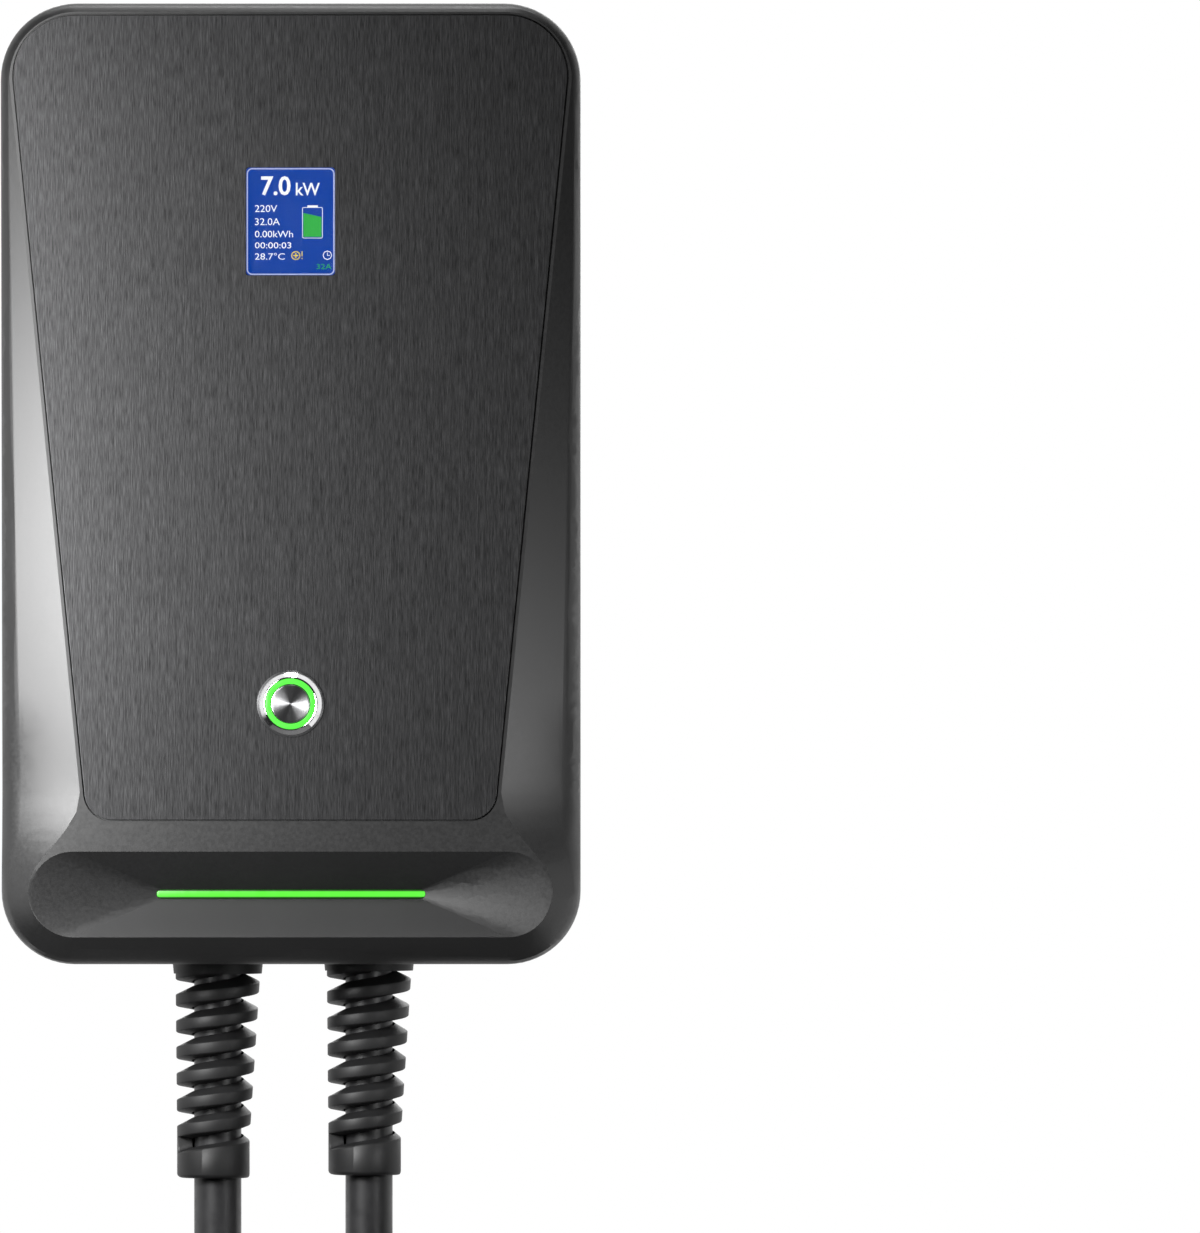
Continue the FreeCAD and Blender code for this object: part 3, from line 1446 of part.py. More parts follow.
def make_gland_cap(name, way, at, top, clamp_low):
    """Dome nut with a collar, a spiral relief and an end ring, in one piece."""
    nut_low = f"({top} - gland_nut_height)"
    collar_low = f"({nut_low} - collar_height)"
    ring_top = f"({collar_low} - relief_length)"
    ring_low = f"({ring_top} - relief_ring_height)"
    tip_low = f"({ring_low} - relief_tip)"
    flats = hexagon(f"{name}_cap_flats", "z", "gland_nut_hex", nut_low, top, at)
    dome = cone(f"{name}_cap_dome", "z", "gland_nut_hex / 2 - cap_dome_foot",
                "gland_nut_hex / 2 + cap_dome_spread", nut_low, top, at)
    nut = common(f"{name}_cap_nut", flats, dome)
    collar = cone(f"{name}_cap_collar", "z", "collar_foot_radius", "collar_top_radius", collar_low,
                  f"{nut_low} + {BURY}", at)
    shoulder = rod(f"{name}_cap_shoulder", "z", "relief_top_radius", f"{collar_low} - relief_shoulder",
                   collar_low, at)
    ring = rod(f"{name}_cap_ring", "z", "relief_end_radius", ring_low, ring_top, at)
    tip = cone(f"{name}_cap_tip", "z", "relief_end_radius - relief_tip", "relief_end_radius",
               tip_low, ring_low, at)
    bore = rod(f"{name}_cap_bore", "z", "cable_radius + cable_clearance", f"{tip_low} - {PAST}",
               f"{top} + {PAST}", at)
    socket = rod(f"{name}_cap_socket", "z", "gland_clamp_radius + fit_clearance", clamp_low,
                 f"{top} + {PAST}", at)
    blank = join(f"{name}_cap_blank", nut, collar, shoulder, ring, tip)
    bored = cut(f"{name}_cap_bored", blank, bore, socket)
    spiral_top = (
        size("centre_height") - size("bay_ceiling") - size("gland_washer_thickness")
        - size("gland_hex_height") - size("gland_cap_gap") - size("gland_nut_height")
        - size("collar_height")
    )
    if name == "input":
        spiral_top -= size("loose_cap_extra")
    place = (way * size("gland_spread"), -size("gland_depth"))
    spiral = feature(f"{name}_cap_spiral", relief_spiral(place, spiral_top))
    piece(f"{name}_gland_cap", join(f"{name}_gland_cap", bored, spiral))


COIL_Z = "(centre_height - coil_drop)"


def make_cable(name, way, layers_back, layers_front, layers_in, tail_out, tail_length):
    """Cable of one gland: lead down to its coil, the coil, its two straps and the tail.

    The coil is one ring that takes in all turns: so many layers of turns behind and in front of
    the lead, and so many on either side of it.
    """
    at = (f"{way} * gland_spread", "-gland_depth")
    middle_x = f"{way} * (gland_spread + coil_radius)"
    half = f"((0.5 + {layers_in}) * coil_turn_pitch + {1 - layers_in} * coil_margin)"
    rear = f"(-gland_depth + (0.5 + {layers_back}) * coil_turn_pitch)"
    front = f"(-gland_depth - (0.5 + {layers_front}) * coil_turn_pitch)"

    def ring(use):
        return tube_group(f"{name}_ring_{use}", "y", f"coil_radius + {half}", f"coil_radius - {half}",
                          front, rear, (middle_x, COIL_Z))

    lead = rod(f"{name}_lead", "z", "cable_radius", COIL_Z, "centre_height - jacket_end", at)
    piece(f"{name}_cable", cut(f"{name}_cable", lead, ring("lead")))
    piece(f"{name}_cable_coil", ring("coil"))
    tail_x = f"{way} * (gland_spread - {tail_out} * coil_turn_pitch)"
    tail = rod(f"{name}_tail", "z", "cable_radius", f"{COIL_Z} - {tail_length}", COIL_Z,
               (tail_x, "-(gland_depth + coil_turn_pitch)"))
    piece(f"{name}_cable_tail", cut(f"{name}_cable_tail", tail, ring("tail")))
    reach = f"({half} + strap_thickness)"
    along = (f"{front} - strap_thickness", f"{rear} + strap_thickness")
    side = f"({middle_x} + {way} * coil_radius)"
    foot = f"({COIL_Z} - coil_radius)"
    side_strap = block(f"{name}_side_strap", (f"{side} - {reach}", f"{side} + {reach}"), along,
                       (f"{COIL_Z} - strap_width / 2", f"{COIL_Z} + strap_width / 2"))
    foot_strap = block(f"{name}_foot_strap",
                       (f"{middle_x} - strap_width / 2", f"{middle_x} + strap_width / 2"), along,
                       (f"{foot} - {reach}", f"{foot} + {reach}"))
    straps = [
        cut(f"{name}_strap_{i}", blank, ring(f"strap_{i}"))
        for i, blank in enumerate((side_strap, foot_strap))
    ]
    piece(f"{name}_coil_straps", group(f"{name}_coil_straps", straps))


def level_circle(x, y, z, radius):
    """Level circle, as the end of a loft."""
    return Part.Wire(Part.makeCircle(radius, V(x, y, z)))


def make_cores(name, way):
    """Cores that spread from the end of the jacket to the terminals."""
    y = -size("gland_depth")
    low = size("centre_height") - size("jacket_end")
    high = size("centre_height") - TERMINAL_FOOT
    cores = []
    for i in (-1, 0, 1):
        x = way * size("gland_spread")
        ends = [
            level_circle(x + i * size("core_pitch"), y, low, size("core_radius")),
            level_circle(x + i * size("terminal_pitch"), y, high, size("core_radius")),
        ]
        cores.append(feature(f"{name}_core_{i + 1}", Part.makeLoft(ends, True, True)))
    piece(f"{name}_cores", group(f"{name}_cores", cores))


def make_free_end():
    """Bare cores at the end of the input cable, each with its ferrule."""
    jacket = f"({COIL_Z} - input_tail_length)"
    core_end = f"({jacket} - free_core_length)"
    collar_end = f"({core_end} - ferrule_collar_length)"
    y = "-(gland_depth + coil_turn_pitch)"
    cores, ferrules = [], []
    for i in (-1, 0, 1):
        at = (f"{i} * core_pitch - gland_spread", y)
        cores.append(rod(f"free_core_{i + 1}", "z", "core_radius", core_end, jacket, at))
        collar = cone(f"ferrule_collar_{i + 1}", "z", "ferrule_pin_radius", "ferrule_collar_radius",
                      collar_end, core_end, at)
        pin = rod(f"ferrule_pin_{i + 1}", "z", "ferrule_pin_radius",
                  f"{collar_end} - ferrule_pin_length", collar_end, at)
        ferrules.append(join(f"ferrule_{i + 1}", collar, pin))
    piece("input_free_cores", group("input_free_cores", cores))
    piece("input_ferrules", group("input_ferrules", ferrules))


# Contacts in the connector's face, from its middle; the first two are the small ones.
CONTACT_PLACES = (
    (-7.0, -12.0), (7.0, -12.0), (-14.5, -1.0), (0.0, -1.0), (14.5, -1.0), (-8.0, 12.0), (8.0, 12.0),
)


def make_connector():
    """Straight vehicle connector: boot, shell with its socket, contact carrier, contacts and screws."""
    x, y = "(gland_spread - coil_turn_pitch)", "(-gland_depth - coil_turn_pitch)"
    at = (x, y)
    top = f"({COIL_Z} - output_tail_length)"
    grip_top = f"({top} - grip_top_length)"
    grip_foot = f"({grip_top} - grip_length)"
    nose_top = f"({grip_foot} - flare_length)"
    nose_foot = f"({nose_top} - nose_length)"
    socket_top = f"({nose_foot} + socket_depth)"
    carrier_foot = f"({socket_top} - carrier_length)"
    boot = cone("boot_blank", "z", "boot_foot_radius", "boot_top_radius", top, f"{top} + boot_length", at)
    boot_bore = rod("boot_bore", "z", "cable_radius", f"{top} - {PAST}",
                    f"{top} + boot_length + {PAST}", at)
    piece("connector_boot", cut("connector_boot", boot, boot_bore))
    nose = rod("nose", "z", "nose_radius", nose_foot, nose_top, at)
    keyed = block("nose_key", (f"{x} - nose_radius", f"{x} + nose_radius"),
                  (f"{y} - nose_flat", f"{y} + nose_radius"), (nose_foot, nose_top))
    shell = join(
        "connector_blank",
        cone("grip_top", "z", "grip_radius", "grip_top_radius", grip_top, top, at),
        rod("grip", "z", "grip_radius", grip_foot, grip_top, at),
        cone("grip_flare", "z", "nose_flat - flare_step", "grip_radius", nose_top, grip_foot, at),
        common("keyed_nose", nose, keyed),
    )
    socket = rod("connector_socket", "z", "socket_radius", f"{nose_foot} - {PAST}", socket_top, at)
    wells, screws = [], []
    screw_rear = f"({y} + grip_radius + {PAST})"
    head_rear = f"({y} + grip_radius - connector_screw_sink)"
    for i, way in enumerate((-1, 1)):
        spot = (x, f"({grip_foot} + grip_length / 2 + {way} * connector_screw_spread)")
        seat = f"({y} + grip_radius - connector_screw_length)"
        wells.append(rod(f"connector_well_{i}", "y", "connector_screw_radius", seat, screw_rear, spot))
        blank = rod(f"connector_screw_blank_{i}", "y", "connector_screw_radius", seat, head_rear, spot)
        drive = hexagon(f"connector_drive_{i}", "y", "connector_screw_radius",
                        f"{head_rear} - connector_drive_depth", screw_rear, spot)
        screws.append(cut(f"connector_screw_{i}", blank, drive))
    piece("connector_screws", group("connector_screws", screws))
    piece("connector_shell", cut("connector_shell", shell, socket, *wells))
    carrier = rod("carrier_blank", "z", "carrier_radius", carrier_foot, socket_top, at)
    holes, contacts = [], []
    seat = f"({carrier_foot} + contact_length)"
    for i, (across, along) in enumerate(CONTACT_PLACES):
        kind = "signal" if i < 2 else "power"
        spot = (f"{x} + {across}", f"{y} + {along}")
        hole = f"{kind}_contact_radius"
        holes.append(rod(f"contact_hole_{i}", "z", hole, f"{carrier_foot} - {PAST}", seat, spot))
        contacts.append(tube_group(f"contact_{i}", "z", hole, f"{kind}_contact_bore",
                                   f"{carrier_foot} + contact_sink", seat, spot))
    piece("contact_carrier", cut("contact_carrier", carrier, *holes))
    piece("connector_contacts", group("connector_contacts", contacts))


# Heights of the parts on the main board, from the middle of the housing; x, z of each middle.
TERMINAL_FOOT = 72.0
RELAY_PLACES = ((-25.0, -27.0), (25.0, -27.0))
SENSOR_PLACE = (0.0, 25.0)
SUPPLY_PLACE = (-31.0, 92.0)
CONTROLLER_PLACE = (34.0, 88.0)
CAPACITOR_PLACES = ((-34.0, 56.0), (34.0, 56.0))


def on_board(name, place, width, height, depth):
    """Box that stands on the main board around a middle."""
    x, z = place
    return block(
        name,
        (f"{x} - {width} / 2", f"{x} + {width} / 2"),
        (f"{BOARD_FRONT} - {depth}", BOARD_FRONT),
        (f"centre_height + {z} - {height} / 2", f"centre_height + {z} + {height} / 2"),
    )


def make_board():
    """Main board and the screws that hold it on its pillars."""
    blank = block("main_board_blank", ("-board_width / 2", "board_width / 2"), (BOARD_FRONT, BOARD_REAR),
                  ("centre_height - board_bottom", "centre_height + board_top"))
    holes, screws = [], []
    for i, at in enumerate(board_corners()):
        holes.append(rod(f"board_hole_{i}", "y", "board_screw_radius + fit_clearance",
                         f"{BOARD_FRONT} - {PAST}", f"{BOARD_REAR} + {PAST}", at))
        head = rod(f"board_head_{i}", "y", "board_screw_head_radius",
                   f"{BOARD_FRONT} - board_screw_head_height", BOARD_FRONT, at)
        shank = rod(f"board_shank_{i}", "y", "board_screw_radius", BOARD_FRONT,
                    f"{BOARD_FRONT} + board_screw_length", at)
        screws.append(join(f"board_screw_{i}", head, shank))
    piece("main_board", cut("main_board", blank, *holes))
    piece("board_screws", group("board_screws", screws))


def make_board_parts():
    """Terminals, relays, supply, current sensor, capacitors and controller on the main board."""
    for name, way in (("input", -1), ("output", 1)):
        x = f"({way} * gland_spread)"
        low = f"(centre_height - {TERMINAL_FOOT})"
        body = block(f"{name}_terminal_body", (f"{x} - terminal_width / 2", f"{x} + terminal_width / 2"),
                     (f"{BOARD_FRONT} - terminal_depth", BOARD_FRONT), (low, f"{low} + terminal_height"))
        slots = [
            rod(f"{name}_terminal_screw_{i + 1}", "y", "terminal_screw_radius",
                f"{BOARD_FRONT} - terminal_depth - {PAST}",
                f"{BOARD_FRONT} - terminal_depth + terminal_screw_sink",
                (f"{x} + {i} * terminal_pitch", f"{low} + terminal_height / 2"))
            for i in (-1, 0, 1)
        ]
        piece(f"{name}_terminals", cut(f"{name}_terminals", body, *slots))
    relays = [
        on_board(f"relay_{i}", place, "relay_width", "relay_height", "relay_depth")
        for i, place in enumerate(RELAY_PLACES)
    ]
    piece("power_relays", group("power_relays", relays))
    piece("power_supply", on_board("power_supply", SUPPLY_PLACE, "supply_width", "supply_height",
                                   "supply_depth"))
    x, z = SENSOR_PLACE
    at = (f"{x}", f"centre_height + {z}")
    piece("current_sensor", tube_group("current_sensor", "y", "sensor_outer", "sensor_inner",
                                       f"{BOARD_FRONT} - sensor_depth", BOARD_FRONT, at))
    bridges = []
    for i, way in enumerate((-1, 1)):
        inner, outer = f"{way} * bridge_width", f"{way} * bridge_reach"
        low, high = (inner, outer) if way > 0 else (outer, inner)
        up = (f"centre_height + {z} - bridge_width / 2", f"centre_height + {z} + bridge_width / 2")
        front = f"({BOARD_FRONT} - sensor_depth - bridge_height)"
        legs = [
            block(f"bridge_leg_{i}", (f"{foot} - bridge_width / 2", f"{foot} + bridge_width / 2"),
                  (front, BOARD_FRONT), up)
            for foot in (inner, outer)
        ]
        span = block(f"bridge_span_{i}", (f"{low} - bridge_width / 2", f"{high} + bridge_width / 2"),
                     (front, f"{front} + bridge_height"), up)
        bridges.append(join(f"bridge_{i}", *legs, span))
    piece("sensor_bridges", group("sensor_bridges", bridges))
    capacitors = [
        rod(f"capacitor_{i}", "y", "capacitor_radius", f"{BOARD_FRONT} - capacitor_length", BOARD_FRONT,
            (f"{x}", f"centre_height + {z}"))
        for i, (x, z) in enumerate(CAPACITOR_PLACES)
    ]
    piece("filter_capacitors", group("filter_capacitors", capacitors))
    piece("controller_module", on_board("controller_module", CONTROLLER_PLACE, "controller_width",
                                        "controller_height", "controller_thickness"))


def make_wires():
    """Ribbon of the display and the two leads of the button, straight back to the main board."""
    plug = f"({INNER_FACE} + display_module_thickness + board_thickness + display_plug_depth)"
    z = f"({DISPLAY_Z} - display_plug_drop)"
    ribbon = block("display_ribbon", ("-ribbon_half_width", "ribbon_half_width"), (plug, BOARD_FRONT),
                   (f"{z} - ribbon_thickness / 2", f"{z} + ribbon_thickness / 2"))
    piece("display_ribbon", ribbon)
    rear = f"({FRONT} - button_seal_thickness + button_barrel_length)"
    leads = [
        rod(f"button_lead_{i}", "y", "lead_radius", rear, BOARD_FRONT,
            (f"{way} * lead_spread / 2", BUTTON_Z))
        for i, way in enumerate((-1, 1))
    ]
    piece("button_leads", group("button_leads", leads))


def make_everything():
    """Every piece of the charger."""
    make_front_cover()
    make_panel()
    make_display()
    make_button()
    make_light_bar()
    make_rear_shell()
    make_case_parts()
    for name, way, extra in GLANDS:
        make_gland(name, way, extra)
        make_cores(name, way)
    make_cable("input", -1, 0, 1, 0, 0, "input_tail_length")
    make_cable("output", 1, 1, 1, 1, 1, "output_tail_length")
    make_free_end()
    make_connector()
    make_board()
    make_board_parts()
    make_wires()


def check_everything():
    """Stop if an object is broken or a shape is empty or invalid."""
    for item in doc.Objects:
        if "Invalid" in item.State or "Error" in item.State:
            raise SystemExit(f"{item.Name} is in state {item.State}")
        if hasattr(item, "Shape") and item.Shape.isNull() and not item.TypeId.startswith("App::"):
            raise SystemExit(f"{item.Name} has no shape")
    for label, item in pieces.items():
        if not item.Shape.isValid() or not item.Shape.Solids:
            raise SystemExit(f"{label} is not a valid solid")


make_everything()
doc.recompute()
check_everything()
os.makedirs("parts", exist_ok=True)
for label, item in pieces.items():
    item.Shape.exportStep(f"parts/{label}.step")
print(f"{len(pieces)} pieces written")
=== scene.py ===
"""Wall charger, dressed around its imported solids.

Metres, in the row frame: X to the right as seen from the front, Y into the wall, Z up.
"""

import json
import math

import bpy
import numpy as np
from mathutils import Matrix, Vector


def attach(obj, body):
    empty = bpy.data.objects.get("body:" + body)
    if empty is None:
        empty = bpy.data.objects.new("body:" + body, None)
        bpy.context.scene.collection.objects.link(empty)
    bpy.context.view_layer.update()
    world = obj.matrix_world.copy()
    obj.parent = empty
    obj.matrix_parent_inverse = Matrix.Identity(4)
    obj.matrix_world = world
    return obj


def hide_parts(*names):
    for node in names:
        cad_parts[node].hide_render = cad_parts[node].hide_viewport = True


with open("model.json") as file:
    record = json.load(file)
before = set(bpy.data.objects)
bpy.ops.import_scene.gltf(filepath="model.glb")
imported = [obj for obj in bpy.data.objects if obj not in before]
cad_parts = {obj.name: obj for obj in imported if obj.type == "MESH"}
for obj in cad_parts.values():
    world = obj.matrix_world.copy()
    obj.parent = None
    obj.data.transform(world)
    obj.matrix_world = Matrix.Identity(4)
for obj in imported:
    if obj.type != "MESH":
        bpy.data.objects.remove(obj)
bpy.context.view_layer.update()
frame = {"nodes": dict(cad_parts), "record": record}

MM = 0.001
MIDDLE = 0.0144
FRONT = -0.085
CABLE_RADIUS = 0.0078
GLAND_SPREAD = 0.025
GLAND_DEPTH = 0.028
COIL_DROP = 0.372
COIL_RADIUS = 0.084
TURN_PITCH = 0.016
JACKET_END = 0.110
INPUT_TAIL = 0.200
OUTPUT_TAIL = 0.145
DISPLAY_Z = MIDDLE + 0.086
BUTTON_Z = MIDDLE - 0.072
LIGHT_Z = MIDDLE - 0.1344


# The camera and the light.


def place_camera():
    """Long lens straight at the front, with the charger in the left half of the picture."""
    data = bpy.data.cameras.new("camera")
    camera = bpy.data.objects.new("camera", data)
    bpy.context.scene.collection.objects.link(camera)
    distance = 6.0
    picture_height = 0.4038
    data.sensor_width = 36.0
    data.lens = data.sensor_width * distance / picture_height
    data.clip_end = 60.0
    camera.location = (0.10136, FRONT - distance, MIDDLE - 0.0434)
    camera.rotation_euler = (math.radians(90), 0, 0)
    bpy.context.scene.camera = camera
    bpy.context.scene.view_settings.view_transform = "Standard"


def soft_light(name, place, aim, width, height, watts):
    """Rectangular soft light."""
    data = bpy.data.lights.new(name, "AREA")
    data.shape = "RECTANGLE"
    data.size = width
    data.size_y = height
    data.energy = watts
    light = bpy.data.objects.new(name, data)
    bpy.context.scene.collection.objects.link(light)
    light.location = place
    way = Vector(aim) - Vector(place)
    light.rotation_euler = way.to_track_quat("-Z", "Y").to_euler()
    light.visible_camera = False
    return light


def light_studio():
    """Near soft boxes on both sides and above, and a room that is bright behind the charger."""
    soft_light("left_light", (-0.219, -0.300, -0.02), (-0.085, -0.077, -0.02), 0.10, 0.12, 2.2)
    soft_light("upper_left_light", (-0.170, -0.323, 0.13), (-0.085, -0.077, 0.13), 0.07, 0.15, 0.6)
    soft_light("lower_left_light", (-0.215, -0.302, -0.09), (-0.085, -0.077, -0.09), 0.07, 0.10, 0.5)
    soft_light("right_light", (0.248, -0.301, -0.129), (0.085, -0.077, -0.09), 0.07, 0.12, 0.34)
    soft_light("top_light", (-0.003, -0.065, 0.62), (0.0, -0.05, 0.17), 0.30, 0.10, 0.9)
    soft_light("front_light", (0.03, -0.34, 0.42), (0.0, -0.08, 0.0), 0.05, 0.12, 0.2)
    soft_light("back_light", (0.2, 1.6, 0.6), (0.0, -0.04, 0.0), 1.6, 1.2, 18)
    world = bpy.data.worlds.new("room")
    bpy.context.scene.world = world
    world.use_nodes = True
    nodes, links = world.node_tree.nodes, world.node_tree.links
    nodes.clear()

    def math_node(kind, first, second):
        node = nodes.new("ShaderNodeMath")
        node.operation = kind
        links.new(first, node.inputs[0])
        links.new(second, node.inputs[1])
        return node.outputs[0]

    def ramp(source, low, high):
        node = nodes.new("ShaderNodeMapRange")
        node.interpolation_type = "SMOOTHSTEP"
        node.inputs["From Min"].default_value = low
        node.inputs["From Max"].default_value = high
        links.new(source, node.inputs["Value"])
        return node.outputs["Result"]

    white = nodes.new("ShaderNodeBackground")
    white.inputs["Color"].default_value = (1, 1, 1, 1)
    dim = nodes.new("ShaderNodeBackground")
    dim.inputs["Color"].default_value = (0.02, 0.02, 0.0205, 1)
    rays = nodes.new("ShaderNodeLightPath")
    split = nodes.new("ShaderNodeSeparateXYZ")
    links.new(nodes.new("ShaderNodeTexCoord").outputs["Generated"], split.inputs[0])
    behind = ramp(split.outputs["Y"], -0.14, -0.04)
    gap = nodes.new("ShaderNodeVectorMath")
    gap.operation = "DOT_PRODUCT"
    gap.inputs[1].default_value = (0.46, 0.0, 0.89)
    links.new(split.inputs[0].links[0].from_socket, gap.inputs[0])
    above = ramp(gap.outputs["Value"], -0.86, -0.70)
    shiny = math_node("MAXIMUM", rays.outputs["Is Glossy Ray"], rays.outputs["Is Transmission Ray"])
    seen = math_node("MULTIPLY", shiny, math_node("MULTIPLY", behind, above))
    shown = math_node("MAXIMUM", seen, rays.outputs["Is Camera Ray"])
    mix = nodes.new("ShaderNodeMixShader")
    links.new(shown, mix.inputs["Fac"])
    links.new(dim.outputs[0], mix.inputs[1])
    links.new(white.outputs[0], mix.inputs[2])
    out = nodes.new("ShaderNodeOutputWorld")
    links.new(mix.outputs[0], out.inputs["Surface"])


def lay_floor():
    """Pale floor well below the hanging cables."""
    bpy.ops.object.select_all(action="DESELECT")
    bpy.ops.mesh.primitive_circle_add(vertices=64, radius=1.1, fill_type="NGON", location=(0, 0, -1.3))
    floor = bpy.context.object
    floor.name = "pale_floor"
    look = bpy.data.materials.new("pale_floor")
    look.use_nodes = True
    shader = look.node_tree.nodes["Principled BSDF"]
    shader.inputs["Base Color"].default_value = (0.82, 0.82, 0.82, 1)
    shader.inputs["Roughness"].default_value = 0.9
    floor.data.materials.append(look)


place_camera()
light_studio()
lay_floor()


# Materials.


class Look:
    """A material in the making: its nodes, its links and its shader."""

    def __init__(self, name, color, roughness, metallic=0.0, level=0.5):
        self.material = bpy.data.materials.new(name)
        self.material.use_nodes = True
        self.nodes = self.material.node_tree.nodes
        self.links = self.material.node_tree.links
        self.shader = self.nodes["Principled BSDF"]
        self.shader.inputs["Base Color"].default_value = (*color, 1)
        self.shader.inputs["Roughness"].default_value = roughness
        self.shader.inputs["Metallic"].default_value = metallic
        self.shader.inputs["Specular IOR Level"].default_value = level
        self.place = self.nodes.new("ShaderNodeTexCoord").outputs["Object"]

    def stretched(self, scale):
        """Object coordinates times a scale per axis."""
        node = self.nodes.new("ShaderNodeMapping")
        node.inputs["Scale"].default_value = scale
        self.links.new(self.place, node.inputs["Vector"])
        return node.outputs["Vector"]

    def noise(self, scale, detail=4.0, roughness=0.55, place=None):
        """Noise of a scale, in features per metre."""
        node = self.nodes.new("ShaderNodeTexNoise")
        node.inputs["Scale"].default_value = scale
        node.inputs["Detail"].default_value = detail
        node.inputs["Roughness"].default_value = roughness
        self.links.new(place if place else self.place, node.inputs["Vector"])
        return node.outputs["Fac"]

    def spread(self, source, low, high, first=0.3, last=0.7):
        """A value brought from one range into another."""
        node = self.nodes.new("ShaderNodeMapRange")
        node.inputs["From Min"].default_value = first
        node.inputs["From Max"].default_value = last
        node.inputs["To Min"].default_value = low
        node.inputs["To Max"].default_value = high
        self.links.new(source, node.inputs["Value"])
        return node.outputs["Result"]

    def tint(self, source, dark, pale):
        """Colour between two, by a value."""
        node = self.nodes.new("ShaderNodeMix")
        node.data_type = "RGBA"
        node.inputs["A"].default_value = (*dark, 1)
        node.inputs["B"].default_value = (*pale, 1)
        self.links.new(source, node.inputs["Factor"])
        self.links.new(node.outputs["Result"], self.shader.inputs["Base Color"])

    def rough(self, source, low, high):
        """Roughness between two values."""
        self.links.new(self.spread(source, low, high), self.shader.inputs["Roughness"])

    def bump(self, source, strength, distance):
        """Bump from a value, on top of any there is."""
        node = self.nodes.new("ShaderNodeBump")
        node.inputs["Strength"].default_value = strength
        node.inputs["Distance"].default_value = distance
        self.links.new(source, node.inputs["Height"])
        if self.shader.inputs["Normal"].links:
            self.links.new(self.shader.inputs["Normal"].links[0].from_socket, node.inputs["Normal"])
        self.links.new(node.outputs["Normal"], self.shader.inputs["Normal"])
        return self


def sand_black():
    """Matt black plastic with a fine sand grain."""
    look = Look("sand_black", (0.005, 0.005, 0.0052), 0.44, level=0.9)
    cloud = look.noise(35, 3)
    look.tint(look.spread(cloud, 0, 1), (0.0026, 0.0026, 0.0027), (0.0044, 0.0044, 0.0046))
    look.rough(look.noise(900, 2), 0.41, 0.47)
    look.bump(look.noise(2600, 2, 0.6), 0.22, 0.00004)
    return look.material


def moulded_black(name="moulded_black", roughness=0.34):
    """Smooth moulded black plastic with faint flow marks and rubbed patches."""
    look = Look(name, (0.008, 0.008, 0.0083), roughness)
    look.tint(look.spread(look.noise(22, 4), 0, 1), (0.006, 0.006, 0.0063), (0.012, 0.012, 0.0124))
    look.rough(look.noise(60, 5), roughness - 0.06, roughness + 0.12)
    look.bump(look.noise(1500, 3), 0.08, 0.00010)
    return look.material


def brushed_panel():
    """Dark anodised sheet, brushed from top to bottom."""
    look = Look("brushed_panel", (0.05, 0.05, 0.052), 0.42, metallic=0.8)
    strokes = look.noise(1.0, 5, 0.62, look.stretched((2700, 400, 190)))
    long_strokes = look.noise(1.0, 3, 0.5, look.stretched((900, 400, 40)))
    look.tint(look.spread(strokes, 0, 1, 0.32, 0.72), (0.020, 0.020, 0.0205), (0.078, 0.078, 0.080))
    look.rough(long_strokes, 0.38, 0.48)
    look.bump(strokes, 0.6, 0.00006)
    return look.material


def metal(name, color, roughness, grain=700):
    """Bright metal with fine machining marks."""
    look = Look(name, color, roughness, metallic=1.0)
    look.rough(look.noise(grain, 3), max(0.03, roughness - 0.05), roughness + 0.08)
    look.bump(look.noise(grain * 3, 2), 0.05, 0.00003)
    return look.material


def spun_metal():
    """Spun button face: fine rings about its axis, which spread its gloss out from the middle."""
    look = Look("spun_metal", (0.55, 0.55, 0.56), 0.32, metallic=1.0)
    reach = look.nodes.new("ShaderNodeVectorMath")
    reach.operation = "SUBTRACT"
    reach.inputs[1].default_value = (0, 0, BUTTON_Z)
    look.links.new(look.place, reach.inputs[0])
    flat = look.nodes.new("ShaderNodeVectorMath")
    flat.operation = "MULTIPLY"
    flat.inputs[1].default_value = (1, 0, 1)
    look.links.new(reach.outputs["Vector"], flat.inputs[0])
    unit = look.nodes.new("ShaderNodeVectorMath")
    unit.operation = "NORMALIZE"
    look.links.new(flat.outputs["Vector"], unit.inputs[0])
    look.links.new(unit.outputs["Vector"], look.shader.inputs["Tangent"])
    look.shader.inputs["Anisotropic"].default_value = 0.85
    rings = look.nodes.new("ShaderNodeTexWave")
    rings.wave_type = "RINGS"
    rings.rings_direction = "Y"
    rings.inputs["Scale"].default_value = 900
    rings.inputs["Distortion"].default_value = 1.5
    rings.inputs["Detail"].default_value = 3
    look.links.new(reach.outputs["Vector"], rings.inputs["Vector"])
    look.rough(rings.outputs["Fac"], 0.28, 0.36)
    return look.material


def lit(name, color, strength, ripple=260):
    """Lit plastic, a little uneven."""
    look = Look(name, tuple(0.1 * c for c in color), 0.35)
    look.shader.inputs["Emission Color"].default_value = (*color, 1)
    look.shader.inputs["Emission Strength"].default_value = strength
    look.rough(look.noise(ripple, 2), 0.28, 0.42)
    return look.material


